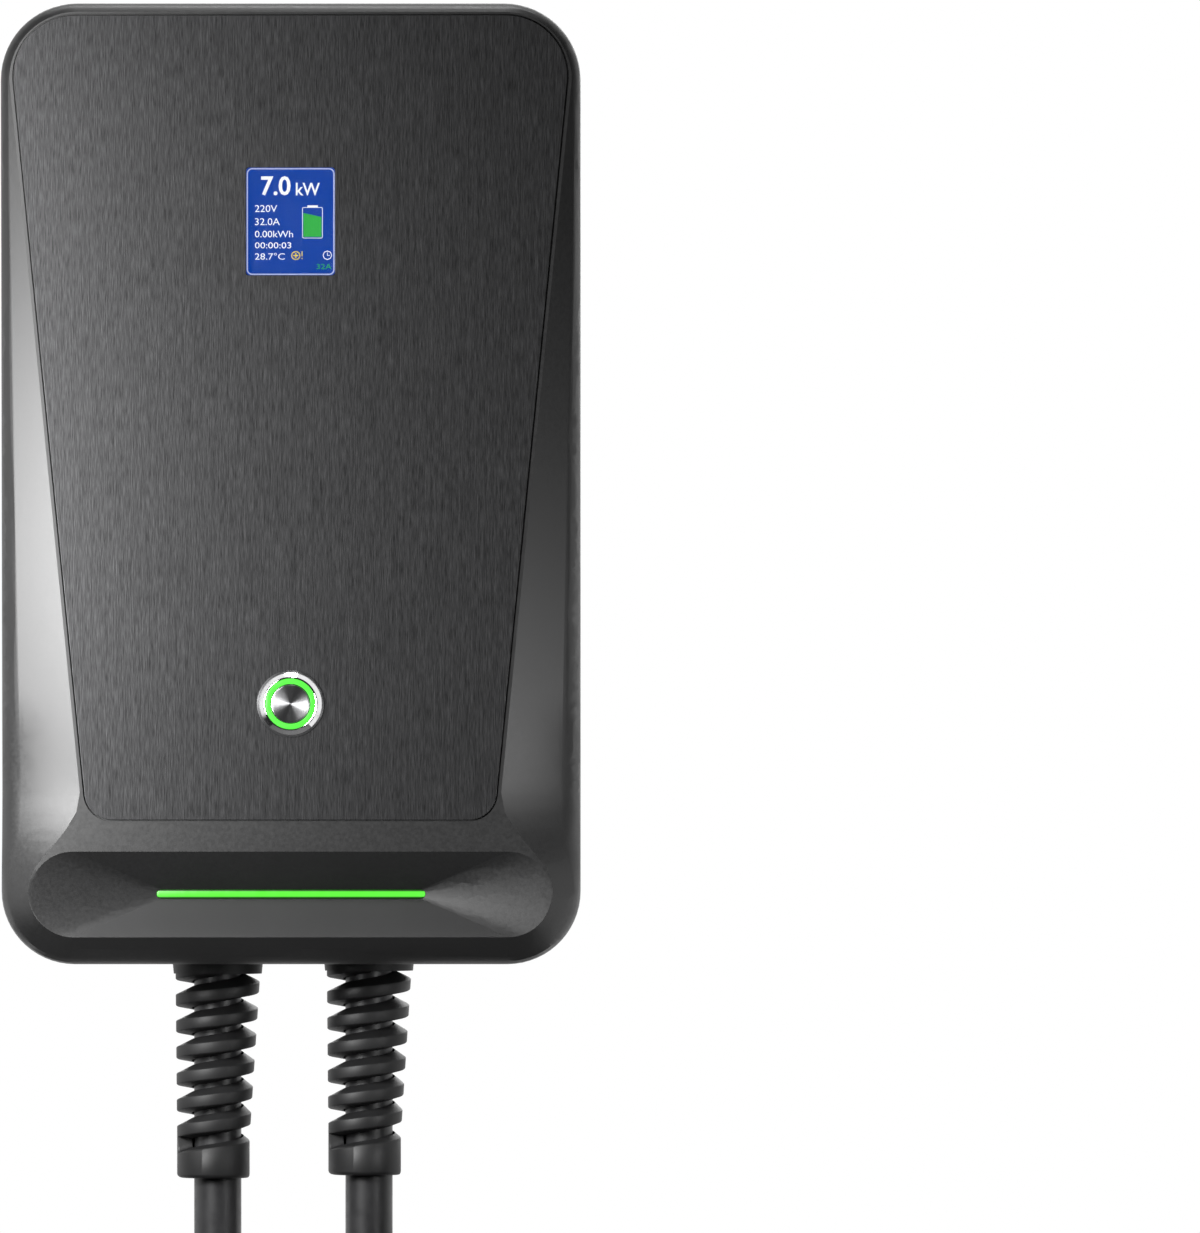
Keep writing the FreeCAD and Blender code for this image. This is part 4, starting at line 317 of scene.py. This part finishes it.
def lit_bar():
    """Diffuser that glows along its middle line and is dark green at its edges."""
    look = Look("lit_bar", (0.01, 0.06, 0.006), 0.35)
    height = look.nodes.new("ShaderNodeSeparateXYZ")
    look.links.new(look.place, height.inputs[0])
    off = look.nodes.new("ShaderNodeMath")
    off.operation = "SUBTRACT"
    off.inputs[1].default_value = LIGHT_Z
    look.links.new(height.outputs["Z"], off.inputs[0])
    far = look.nodes.new("ShaderNodeMath")
    far.operation = "ABSOLUTE"
    look.links.new(off.outputs[0], far.inputs[0])
    glow = look.spread(far.outputs[0], 1.0, 0.02, 0.00075, 0.00105)
    look.shader.inputs["Emission Color"].default_value = (0.115, 0.92, 0.045, 1)
    look.links.new(glow, look.shader.inputs["Emission Strength"])
    look.rough(look.noise(260, 2), 0.28, 0.42)
    return look.material


def plain(name, color, roughness, grain=500, depth=0.00008, metallic=0.0):
    """Plastic, rubber or board with a slight grain and uneven colour."""
    look = Look(name, color, roughness, metallic)
    pale = tuple(min(1.0, c * 1.25 + 0.004) for c in color)
    dark = tuple(c * 0.82 for c in color)
    look.tint(look.spread(look.noise(grain / 12, 4), 0, 1), dark, pale)
    look.rough(look.noise(grain / 4, 3), roughness - 0.06, roughness + 0.08)
    look.bump(look.noise(grain * 2, 2), 0.12, depth)
    return look.material


def clear_window():
    """Clear hard window over the display."""
    look = Look("clear_window", (1, 1, 1), 0.06, level=0.15)
    look.shader.inputs["Transmission Weight"].default_value = 1.0
    look.shader.inputs["IOR"].default_value = 1.45
    look.rough(look.noise(120, 3), 0.02, 0.07)
    return look.material


LOOKS = {
    "cover": sand_black(),
    "shell": moulded_black(),
    "panel": brushed_panel(),
    "window": clear_window(),
    "screen": lit("screen_ground", (0.0, 0.047, 0.345), 1.0),
    "steel": metal("satin_steel", (0.56, 0.57, 0.58), 0.32),
    "spun": spun_metal(),
    "chrome": metal("polished_chrome", (0.86, 0.86, 0.87), 0.07, 300),
    "ring": lit("lit_ring", (0.11, 0.92, 0.07), 1.0),
    "light": lit_bar(),
    "board": plain("solder_mask", (0.012, 0.11, 0.04), 0.4, 900),
    "module": plain("module_plastic", (0.05, 0.05, 0.055), 0.45),
    "terminal": plain("terminal_plastic", (0.03, 0.19, 0.07), 0.5),
    "relay": plain("relay_plastic", (0.022, 0.022, 0.026), 0.42),
    "coil_part": plain("potting", (0.03, 0.035, 0.09), 0.5),
    "brass": metal("satin_brass", (0.66, 0.45, 0.16), 0.28),
    "gland": moulded_black("gland_nylon", 0.52),
    "seal": plain("soft_rubber", (0.013, 0.013, 0.013), 0.7, 800),
    "cable": plain("cable_jacket", (0.017, 0.017, 0.018), 0.42, 700),
    "core": plain("core_insulation", (0.2, 0.07, 0.03), 0.45),
    "strap": plain("strap_weave", (0.02, 0.02, 0.021), 0.8, 1600, 0.0002),
    "ribbon": plain("ribbon_cable", (0.5, 0.5, 0.5), 0.5),
    "white_mark": lit("white_mark", (0.93, 0.94, 0.96), 1.0),
    "frame_mark": lit("frame_mark", (0.45, 0.50, 0.75), 1.0),
    "green_mark": lit("green_mark", (0.03, 0.42, 0.06), 1.0),
    "yellow_mark": lit("yellow_mark", (0.75, 0.60, 0.05), 1.0),
}

for entry in frame["record"]["subparts"]:
    node = frame["nodes"][entry["node"]]
    node.data.materials.clear()
    node.data.materials.append(LOOKS[entry["material_slot"]])


# Helpers for the pieces.


def only(item):
    """Select one object and make it the active one."""
    bpy.ops.object.select_all(action="DESELECT")
    item.select_set(True)
    bpy.context.view_layer.objects.active = item


def finished(item, name, slot, body="housing", angle=32, even=False):
    """Name a piece, settle its place into its mesh, smooth it and give it its material."""
    only(item)
    if item.type != "MESH":
        bpy.ops.object.convert(target="MESH")
        item = bpy.context.object
    bpy.ops.object.transform_apply(location=True, rotation=True, scale=True)
    item.name = name
    item.data.name = name
    item.data.materials.clear()
    item.data.materials.append(LOOKS[slot])
    bpy.ops.object.shade_smooth_by_angle(angle=math.radians(angle))
    if even:
        item.modifiers.new("even", "WEIGHTED_NORMAL").keep_sharp = True
        bpy.ops.object.modifier_apply(modifier="even")
    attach(item, body)
    return item


def bevelled(item, width, segments=2, angle=35):
    """Round the sharp edges of a piece a little."""
    only(item)
    bevel = item.modifiers.new("edge", "BEVEL")
    bevel.width = width
    bevel.segments = segments
    bevel.limit_method = "ANGLE"
    bevel.angle_limit = math.radians(angle)
    bevel.harden_normals = False
    bevel.use_clamp_overlap = True
    bpy.ops.object.modifier_apply(modifier="edge")
    return item


def dressed(node, name, slot, width=0.0, body="housing", angle=32, flat=0.4, even=False):
    """Cleaned copy of a CAD node with rounded edges, in place of the node."""
    source = frame["nodes"][node]
    item = bpy.data.objects.new(name, source.data.copy())
    bpy.context.scene.collection.objects.link(item)
    only(item)
    bpy.ops.object.mode_set(mode="EDIT")
    bpy.ops.mesh.select_all(action="SELECT")
    bpy.ops.mesh.remove_doubles(threshold=0.000002)
    bpy.ops.mesh.dissolve_limited(angle_limit=math.radians(flat))
    bpy.ops.object.mode_set(mode="OBJECT")
    if width:
        bevelled(item, width)
    finished(item, name, slot, body, angle, even)
    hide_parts(node)
    return item


def cut_long_edges(item, longest):
    """Halve the edges of a piece until none is longer than a length."""
    for _ in range(7):
        only(item)
        places = [vertex.co.copy() for vertex in item.data.vertices]
        long_edges = [
            (places[edge.vertices[0]] - places[edge.vertices[1]]).length > longest for edge in item.data.edges
        ]
        if not any(long_edges):
            return
        bpy.ops.object.mode_set(mode="EDIT")
        bpy.ops.mesh.select_mode(type="EDGE")
        bpy.ops.mesh.select_all(action="DESELECT")
        bpy.ops.object.mode_set(mode="OBJECT")
        item.data.edges.foreach_set("select", long_edges)
        bpy.ops.object.mode_set(mode="EDIT")
        bpy.ops.mesh.subdivide(number_cuts=1)
        bpy.ops.mesh.select_mode(type="VERT")
        bpy.ops.object.mode_set(mode="OBJECT")


FLANK_FOOT, FLANK_HEAD = -0.118, -0.055
FLANK_FADE = 0.014
FLANK_REACH = 0.006


def soften_flanks(normal, centre, area):
    """Blend the normals of the cover's flanks where they turn into its lower corners."""
    across, height = centre[:, 0], centre[:, 2]
    outward = normal[:, 0] * np.sign(across)
    flank = np.flatnonzero(
        (height > FLANK_FOOT) & (height < FLANK_HEAD) & (abs(across) > 0.05)
        & (normal[:, 1] < -0.2) & (outward > 0.15)
    )
    place, lie = centre[flank], normal[flank]
    apart = ((place[:, None, :] - place[None, :, :]) ** 2).sum(axis=2)
    pull = np.exp(-apart / (2 * FLANK_REACH ** 2)) * area[flank]
    pull[lie @ lie.T < math.cos(math.radians(28))] = 0
    rise, drop = place[:, 2] - FLANK_FOOT, FLANK_HEAD - place[:, 2]
    fade = ((rise / FLANK_FADE).clip(0, 1) * (drop / FLANK_FADE).clip(0, 1))[:, None]
    total = pull @ lie
    total = lie * (1 - fade) + fade * total / np.linalg.norm(total, axis=1)[:, None].clip(1e-12)
    normal[flank] = total / np.linalg.norm(total, axis=1)[:, None].clip(1e-12)


def even_shading(item, crease, rounds):
    """Shade a piece as smooth across its small facets, and as sharp where two faces meet at a crease."""
    mesh = item.data
    count, corners = len(mesh.polygons), len(mesh.loops)
    normal, centre = np.empty(count * 3), np.empty(count * 3)
    area = np.empty(count)
    sides = np.empty(count, dtype=np.int64)
    edge_of = np.empty(corners, dtype=np.int64)
    vertex_of = np.empty(corners, dtype=np.int64)
    mesh.polygons.foreach_get("normal", normal)
    mesh.polygons.foreach_get("center", centre)
    mesh.polygons.foreach_get("area", area)
    mesh.polygons.foreach_get("loop_total", sides)
    mesh.loops.foreach_get("edge_index", edge_of)
    mesh.loops.foreach_get("vertex_index", vertex_of)
    normal, centre = normal.reshape(-1, 3), centre.reshape(-1, 3)
    height = centre[:, 2]
    lean = np.where((height > -0.101) & (height < -0.05), 0.15, 0.5)
    face_of = np.repeat(np.arange(count), sides)
    order = np.argsort(edge_of, kind="stable")
    twins = edge_of[order][1:] == edge_of[order][:-1]
    one, other = face_of[order][1:][twins], face_of[order][:-1][twins]
    least, wide = math.cos(math.radians(crease)), math.cos(math.radians(32))

    def flush(first, second):
        sideways = (abs(normal[first, 0]) > lean[first]) & (abs(normal[second, 0]) > lean[second])
        return (normal[first] * normal[second]).sum(axis=1) > np.where(sideways, wide, least)

    level = flush(one, other)
    one, other = one[level], other[level]
    weight = area[:, None]
    for _ in range(rounds):
        total = normal * weight
        np.add.at(total, one, (normal * weight)[other])
        np.add.at(total, other, (normal * weight)[one])
        normal = total / np.linalg.norm(total, axis=1)[:, None].clip(1e-12)
    soften_flanks(normal, centre, area)
    order = np.argsort(vertex_of, kind="stable")
    vertex, face = vertex_of[order], face_of[order]
    total = (normal * weight)[face]
    for step in range(1, 60):
        same = vertex[step:] == vertex[:-step]
        if not same.any():
            break
        same &= flush(face[step:], face[:-step])
        total[step:][same] += (normal * weight)[face[:-step][same]]
        total[:-step][same] += (normal * weight)[face[step:][same]]
    smooth = np.empty((corners, 3))
    smooth[order] = total / np.linalg.norm(total, axis=1)[:, None].clip(1e-12)
    mesh.polygons.foreach_set("use_smooth", [True] * count)
    mesh.normals_split_custom_set(smooth.tolist())


def smoothed(node, name, slot, longest=0.006, crease=11, rounds=14):
    """Copy of a curved CAD node whose facets don't show, in place of the node."""
    item = bpy.data.objects.new(name, frame["nodes"][node].data.copy())
    bpy.context.scene.collection.objects.link(item)
    only(item)
    bpy.ops.object.mode_set(mode="EDIT")
    bpy.ops.mesh.select_all(action="SELECT")
    bpy.ops.mesh.remove_doubles(threshold=0.000002)
    bpy.ops.object.mode_set(mode="OBJECT")
    cut_long_edges(item, longest)
    item.data.materials.clear()
    item.data.materials.append(LOOKS[slot])
    even_shading(item, crease, rounds)
    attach(item, "housing")
    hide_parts(node)
    return item


# The cables, each on one smooth curve from its gland to its end.


def ring_points(centre, steps, first, turns, radius_at, depth_at, way):
    """Points of the turns of a coil, from its first angle on."""
    points = []
    spread = 1 / math.cos(math.pi / steps)
    for i in range(1, steps * turns + 1):
        share = i / steps
        angle = first + way * 2 * math.pi * share
        reach = radius_at(share) * spread
        points.append(
            (centre[0] + reach * math.cos(angle), depth_at(share), centre[1] + reach * math.sin(angle))
        )
    return points


def curve_piece(name, points):
    """Round smooth curve through control points."""
    data = bpy.data.curves.new(name, "CURVE")
    data.dimensions = "3D"
    spline = data.splines.new("NURBS")
    spline.points.add(len(points) - 1)
    for point, place in zip(spline.points, points):
        point.co = (*place, 1)
    spline.order_u = 3
    spline.use_endpoint_u = True
    data.resolution_u = 6
    data.bevel_depth = CABLE_RADIUS
    data.bevel_resolution = 7
    data.use_fill_caps = True
    item = bpy.data.objects.new(name, data)
    bpy.context.scene.collection.objects.link(item)
    data.materials.append(LOOKS["cable"])
    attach(item, "housing")
    return item


def input_route():
    """Down from the left gland, once round its coil and on to the bare cores."""
    x, y, z = -GLAND_SPREAD, -GLAND_DEPTH, MIDDLE - COIL_DROP
    centre = (x - COIL_RADIUS, z)
    points = [(x, y, MIDDLE - drop) for drop in (JACKET_END, 0.150, 0.210, 0.275, 0.335, 0.358)]
    steps = 14

    def depth(share):
        return y - TURN_PITCH * min(1.0, max(0.0, share))

    points += ring_points(centre, steps, 0.0, 1, lambda share: COIL_RADIUS, depth, -1)[:-1]
    front = y - TURN_PITCH
    points += [(x, front, z - drop) for drop in (-0.014, 0.020, 0.080, 0.140, INPUT_TAIL)]
    return points


# Places of the turns across the output coil, from the lead's own: out from the middle, to the wall.
SLOTS = ((0, 0), (1, 0), (1, 1), (0, 1), (-1, 1), (-1, 0), (-1, -1), (0, -1), (1, -1))


def slot_at(share):
    """Place across the coil after a share of its turns, with a short step from turn to turn."""
    turn = min(int(share), len(SLOTS) - 1)
    after = min(turn + 1, len(SLOTS) - 1)
    step = max(0.0, min(1.0, (share - turn - 0.72) / 0.26))
    step = step * step * (3 - 2 * step)
    return [a + (b - a) * step for a, b in zip(SLOTS[turn], SLOTS[after])]


def output_route():
    """Down from the right gland, nine times round its coil and down to the connector."""
    x, y, z = GLAND_SPREAD, -GLAND_DEPTH, MIDDLE - COIL_DROP
    centre = (x + COIL_RADIUS, z)
    points = [(x, y, MIDDLE - drop) for drop in (JACKET_END, 0.150, 0.210, 0.275, 0.335, 0.358)]
    points += ring_points(
        centre,
        16,
        math.pi,
        len(SLOTS),
        lambda share: COIL_RADIUS + TURN_PITCH * slot_at(share)[0],
        lambda share: y + TURN_PITCH * slot_at(share)[1],
        1,
    )[:-1]
    out, front = x - TURN_PITCH, y - TURN_PITCH
    points += [(out, front, z - drop) for drop in (-0.016, 0.022, 0.070, OUTPUT_TAIL)]
    return points


def strap_band(name, middle, along, radial, depth_half):
    """Woven band round a coil: a rounded loop across it, open along one axis."""
    bpy.ops.object.select_all(action="DESELECT")
    half_width = 0.0065
    bpy.ops.mesh.primitive_cube_add(size=2, location=middle)
    band = bpy.context.object
    band.scale = [
        half_width if axis == along else (depth_half if axis == 1 else radial) for axis in range(3)
    ]
    only(band)
    bpy.ops.object.transform_apply(location=True, rotation=True, scale=True)
    ends = [
        face for face in band.data.polygons if abs(abs(face.normal[along]) - 1) < 0.01
    ]
    bpy.ops.object.mode_set(mode="EDIT")
    bpy.ops.mesh.select_all(action="DESELECT")
    bpy.ops.object.mode_set(mode="OBJECT")
    for face in band.data.polygons:
        face.select = face.index in {end.index for end in ends}
    bpy.ops.object.mode_set(mode="EDIT")
    bpy.ops.mesh.delete(type="FACE")
    bpy.ops.object.mode_set(mode="OBJECT")
    corners = band.modifiers.new("corners", "BEVEL")
    corners.width = min(radial, depth_half) * 0.8
    corners.segments = 6
    corners.limit_method = "ANGLE"
    bpy.ops.object.modifier_apply(modifier="corners")
    wall = band.modifiers.new("wall", "SOLIDIFY")
    wall.thickness = 0.0012
    wall.offset = -1
    bpy.ops.object.modifier_apply(modifier="wall")
    finished(band, name, "strap")
    return band


input_cable = curve_piece("input_cable_run", input_route())
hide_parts("input_cable", "input_cable_coil", "input_cable_tail")
output_cable = curve_piece("output_cable_run", output_route())
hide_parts("output_cable", "output_cable_coil", "output_cable_tail")

coil_z = MIDDLE - COIL_DROP
input_x = -GLAND_SPREAD - COIL_RADIUS
output_x = GLAND_SPREAD + COIL_RADIUS
input_y = -GLAND_DEPTH - TURN_PITCH / 2

# Half heights and half depths of the straps, round one turn of cable and round nine.
ONE_TURN = (0.0096, 0.0172)
NINE_TURNS = (0.0252, 0.0252)
input_straps = [
    strap_band("input_strap_side", (input_x - COIL_RADIUS, input_y, coil_z), 2, *ONE_TURN),
    strap_band("input_strap_foot", (input_x, input_y, coil_z - COIL_RADIUS), 0, *ONE_TURN),
]
output_straps = [
    strap_band("output_strap_side", (output_x + COIL_RADIUS, -GLAND_DEPTH, coil_z), 2, *NINE_TURNS),
    strap_band("output_strap_foot", (output_x, -GLAND_DEPTH, coil_z - COIL_RADIUS), 0, *NINE_TURNS),
]
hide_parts("input_coil_straps")
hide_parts("output_coil_straps")
sleeve = dressed("connector_boot", "connector_sleeve", "seal", 0.0006)


# The strain reliefs, the button's bezel and the display.


def swept(name, places, turns=1.0, rise=0.0, steps=72):
    """Closed profile of radii and heights, swept round Z and up by a rise in each turn."""
    bpy.ops.object.select_all(action="DESELECT")
    bpy.ops.mesh.primitive_circle_add(
        vertices=len(places), radius=0.01, fill_type="NOTHING", location=(0, 0, 0)
    )
    item = bpy.context.object
    item.name = name
    for vertex, (radius, height) in zip(item.data.vertices, places):
        vertex.co = (radius, 0, height)
    sweep = item.modifiers.new("sweep", "SCREW")
    sweep.axis = "Z"
    sweep.angle = 2 * math.pi * turns
    sweep.screw_offset = rise * turns
    sweep.steps = round(steps * turns)
    sweep.render_steps = sweep.steps
    sweep.use_merge_vertices = rise == 0.0
    sweep.merge_threshold = 0.000001
    bpy.ops.object.modifier_apply(modifier="sweep")
    bpy.ops.object.mode_set(mode="EDIT")
    bpy.ops.mesh.select_all(action="DESELECT")
    bpy.ops.mesh.select_non_manifold()
    bpy.ops.mesh.fill_holes(sides=0)
    bpy.ops.mesh.select_all(action="SELECT")
    bpy.ops.mesh.normals_make_consistent(inside=False)
    bpy.ops.object.mode_set(mode="OBJECT")
    return item


def part_of(node, name, low, high):
    """The part of a CAD node's copy that lies in a box."""
    item = bpy.data.objects.new(name, frame["nodes"][node].data.copy())
    bpy.context.scene.collection.objects.link(item)
    only(item)
    bpy.ops.object.mode_set(mode="EDIT")
    bpy.ops.mesh.select_all(action="SELECT")
    bpy.ops.mesh.remove_doubles(threshold=0.000002)
    bpy.ops.object.mode_set(mode="OBJECT")
    bpy.ops.object.select_all(action="DESELECT")
    middle = [(a + b) / 2 for a, b in zip(low, high)]
    bpy.ops.mesh.primitive_cube_add(size=1, location=middle)
    room = bpy.context.object
    room.scale = [b - a for a, b in zip(low, high)]
    bpy.ops.object.transform_apply(location=True, rotation=True, scale=True)
    only(item)
    keep = item.modifiers.new("keep", "BOOLEAN")
    keep.operation = "INTERSECT"
    keep.object = room
    bpy.ops.object.modifier_apply(modifier="keep")
    only(room)
    bpy.ops.object.delete()
    return item


def joined(items):
    """Several meshes as one."""
    bpy.ops.object.select_all(action="DESELECT")
    for item in items:
        item.select_set(True)
    bpy.context.view_layer.objects.active = items[0]
    bpy.ops.object.join()
    return bpy.context.object


RELIEF_PITCH = 0.00869
RELIEF_LOW = -0.2125
RELIEF_LEAN = -0.00145


def relief_reach(height, lowest, highest):
    """Radius of the relief at a height, and how far its axis leans to the left there."""
    share = min(1.0, max(0.0, (highest - height) / (highest - lowest)))
    return 0.01395 - 0.00195 * share, RELIEF_LEAN * share


def leaned(item, inner, nominal):
    """Taper a swept relief piece and lean its outside, with its bore left on the cable."""
    for vertex in item.data.vertices:
        x, y, z = vertex.co
        radius = math.hypot(x, y)
        reach, lean = relief_reach(z, -0.2150, -0.1620)
        share = (radius - inner) / (nominal - inner)
        grown = inner + (reach - inner) * share
        vertex.co = (x * grown / radius + lean * share, y * grown / radius, z)


def slot_foot(way_round):
    """Height of the end ring's top at an angle from its left, which climbs like a thread."""
    start = 12.0
    angle = (way_round - start) % 360 + start
    height = RELIEF_LOW - 0.0075 + RELIEF_PITCH * angle / 360
    rounding = max(0.0, 1 - (angle - start) / 9.0)
    return height + 0.0020 * (1 - math.sqrt(1 - rounding * rounding))


def make_relief(name, way, extra):
    """Nut and collar of a gland, with a tapered open spiral and a ring below them."""
    node = f"{name}_gland_cap"
    x, foot = way * GLAND_SPREAD, MIDDLE - extra
    nut = part_of(
        node, f"{name}_relief_nut", (x - 0.03, -0.06, foot - 0.1604), (x + 0.03, 0.01, foot - 0.10)
    )
    bevelled(nut, 0.0004)
    inner, nominal = 0.0086, 0.01395
    band = swept(
        f"{name}_relief_spiral",
        (
            (inner, -0.0028), (nominal - 0.0004, -0.0021), (nominal - 0.0001, -0.0019),
            (nominal, -0.0017), (nominal, 0.0014), (nominal - 0.0001, 0.0016),
            (nominal - 0.0004, 0.0018), (inner, 0.0041),
        ),
        turns=6.25,
        rise=RELIEF_PITCH,
    )
    band.rotation_euler = (0, 0, math.radians(185))
    band.location = (0, 0, RELIEF_LOW + RELIEF_PITCH * 5 / 360)
    only(band)
    bpy.ops.object.transform_apply(location=True, rotation=True, scale=True)
    leaned(band, inner, nominal)
    ring = swept(
        f"{name}_relief_ring",
        (
            (inner, -0.2), (0.0116, -0.2), (0.0120, -0.2004), (0.0120, -0.2266), (0.01185, -0.2272),
            (0.0114, -0.2277), (0.0108, -0.2279), (inner, -0.2279),
        ),
        steps=120,
    )
    for vertex in ring.data.vertices:
        px, py, pz = vertex.co
        radius = math.hypot(px, py)
        share = (radius - inner) / (0.0120 - inner)
        if pz > -0.21:
            angle = math.degrees(math.atan2(py, px)) - 180
            pz = slot_foot(angle) - (0.0003 if radius > 0.0118 else 0.0) + 0.0016 * (1 - share)
        vertex.co = (px + RELIEF_LEAN * share, py, pz)
    for item in (band, ring):
        item.location = (x, -GLAND_DEPTH, foot)
        only(item)
        bpy.ops.object.transform_apply(location=True, rotation=True, scale=True)
    whole = joined([nut, band, ring])
    finished(whole, f"{name}_relief", "gland")
    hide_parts(node)
    return whole


def make_bezel():
    """Sloped polished rim on the button's barrel."""
    barrel = part_of("button_body", "button_barrel", (-0.02, -0.0850, -0.09), (0.02, -0.05, -0.03))
    rim = swept(
        "button_rim",
        (
            (0.0110, 0.0850), (0.0110, 0.0852), (0.01088, 0.08536), (0.0100, 0.08623), (0.0089, 0.08731),
            (0.0087, 0.0875), (0.0085, 0.08756), (0.00835, 0.0875), (0.0082, 0.0870), (0.0082, 0.0850),
        ),
        steps=96,
    )
    rim.rotation_euler = (math.radians(90), 0, 0)
    rim.location = (0, 0, BUTTON_Z)
    whole = joined([barrel, rim])
    finished(whole, "button_bezel", "chrome", angle=24)
    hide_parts("button_body")
    return whole


MARK_FACE = -0.0822


def place_mark(item, box):
    """Fit a flat mark, drawn in its own XY plane, into a box on the display.

    The box is left, right, low and high, in millimetres from the display's middle.
    """
    only(item)
    if item.type != "MESH":
        bpy.ops.object.convert(target="MESH")
        item = bpy.context.object
    bpy.ops.object.transform_apply(location=True, rotation=True, scale=True)
    places = [vertex.co.copy() for vertex in item.data.vertices]
    low = [min(place[k] for place in places) for k in (0, 1)]
    size = [max(place[k] for place in places) - low[k] for k in (0, 1)]
    left, right, foot, head = (value * MM for value in box)
    for vertex, place in zip(item.data.vertices, places):
        across = left + (place[0] - low[0]) / size[0] * (right - left)
        up = foot + (place[1] - low[1]) / size[1] * (head - foot)
        vertex.co = (across, MARK_FACE, DISPLAY_Z + up)
    return item


def words(body, box, weight=0.0):
    """A line of figures."""
    bpy.ops.object.select_all(action="DESELECT")
    bpy.ops.object.text_add(location=(0, 0, 0))
    item = bpy.context.object
    item.data.body = body
    item.data.offset = weight
    item.data.resolution_u = 3
    return place_mark(item, box)


def outline(box, radius, line, corners=5):
    """Rounded rectangle drawn as a line."""
    left, right, foot, head = box
    bpy.ops.object.select_all(action="DESELECT")
    bpy.ops.mesh.primitive_plane_add(size=1, location=(0, 0, 0))
    item = bpy.context.object
    item.scale = ((right - left) * MM, (head - foot) * MM, 1)
    bpy.ops.object.transform_apply(location=True, rotation=True, scale=True)
    bpy.ops.object.mode_set(mode="EDIT")
    bpy.ops.mesh.select_all(action="SELECT")
    bpy.ops.mesh.bevel(offset=radius * MM, segments=corners, affect="VERTICES")
    bpy.ops.mesh.select_all(action="SELECT")
    bpy.ops.mesh.inset(thickness=line * MM)
    bpy.ops.mesh.delete(type="FACE")
    bpy.ops.object.mode_set(mode="OBJECT")
    return place_mark(item, box)


def disc(box, hole=0.0, corners=32):
    """Round mark, with a hole of a share of its size."""
    bpy.ops.object.select_all(action="DESELECT")
    bpy.ops.mesh.primitive_circle_add(vertices=corners, radius=1, fill_type="NGON", location=(0, 0, 0))
    item = bpy.context.object
    if hole:
        bpy.ops.object.mode_set(mode="EDIT")
        bpy.ops.mesh.select_all(action="SELECT")
        bpy.ops.mesh.inset(thickness=1 - hole)
        bpy.ops.mesh.delete(type="FACE")
        bpy.ops.object.mode_set(mode="OBJECT")
    return place_mark(item, box)


def bar(box, slant=0.0):
    """Filled rectangle, whose right top corner lies lower by a slant in millimetres."""
    bpy.ops.object.select_all(action="DESELECT")
    bpy.ops.mesh.primitive_plane_add(size=1, location=(0, 0, 0))
    item = place_mark(bpy.context.object, box)
    for vertex in item.data.vertices:
        if vertex.co.x > box[0] * MM + 1e-5 and vertex.co.z > DISPLAY_Z + (box[2] + box[3]) / 2 * MM:
            vertex.co.z -= slant * MM
    return item


def show(name, slot, marks):
    """Finish marks of one colour as one piece."""
    item = joined(marks) if len(marks) > 1 else marks[0]
    finished(item, name, slot)


def draw_display():
    """Readings, battery sign and small signs on the lit ground, behind the window."""
    show("display_border", "frame_mark", [outline((-14.4, 14.4, -17.5, 17.5), 1.8, 0.42)])
    show("display_figures", "white_mark", [
        words("7.0", (-9.7, 0.0, 8.5, 14.9), 0.02),
        words("kW", (1.7, 9.6, 8.5, 12.7), 0.012),
        words("220V", (-11.7, -4.4, 3.1, 5.4)),
        words("32.0A", (-11.7, -3.5, -1.2, 1.1)),
        words("0.00kWh", (-11.7, 0.8, -5.2, -3.0)),
        words("00:00:03", (-11.7, 0.2, -8.8, -6.8)),
        words("28.7\u00b0C", (-11.7, -1.9, -12.5, -10.3)),
        outline((3.8, 10.5, -5.5, 4.7), 0.5, 0.18, 3),
        bar((5.5, 8.9, 4.7, 5.3)),
        disc((10.5, 13.6, -12.6, -9.5), 0.84, 8),
        bar((11.95, 12.15, -11.1, -10.1)),
        bar((11.95, 12.9, -11.2, -11.0)),
    ])
    show("display_green", "green_mark", [
        bar((4.2, 10.1, -5.0, 2.8), 1.3),
        words("32A", (8.5, 13.4, -15.6, -13.9)),
    ])
    show("display_yellow", "yellow_mark", [
        disc((0.2, 3.2, -12.6, -9.7), 0.78),
        bar((0.9, 2.5, -11.35, -10.95)),
        bar((1.5, 1.9, -11.95, -10.35)),
        bar((3.6, 3.9, -11.4, -9.7)),
        bar((3.6, 3.9, -12.3, -11.9)),
    ])


# The housing.

smoothed("front_cover", "cover_moulding", "cover")
dressed("rear_shell", "rear_moulding", "shell", 0.00025, even=True)
dressed("trim_panel", "brushed_panel", "panel", 0.00035, even=True)
dressed("light_bar", "light_diffuser", "light", 0.0002)
dressed("input_gland_body", "input_gland", "gland", 0.0003)
dressed("output_gland_body", "output_gland", "gland", 0.0003)
make_relief("input", -1, 0.001)
make_relief("output", 1, 0.0)
make_bezel()
cap = dressed("button_cap", "button_face", "steel", 0.00015, "button")
cap.data.materials[0] = LOOKS["spun"]
dressed("button_ring", "button_glow", "ring", 0.0001)
draw_display()
dressed("connector_shell", "connector_moulding", "cover", 0.0006)
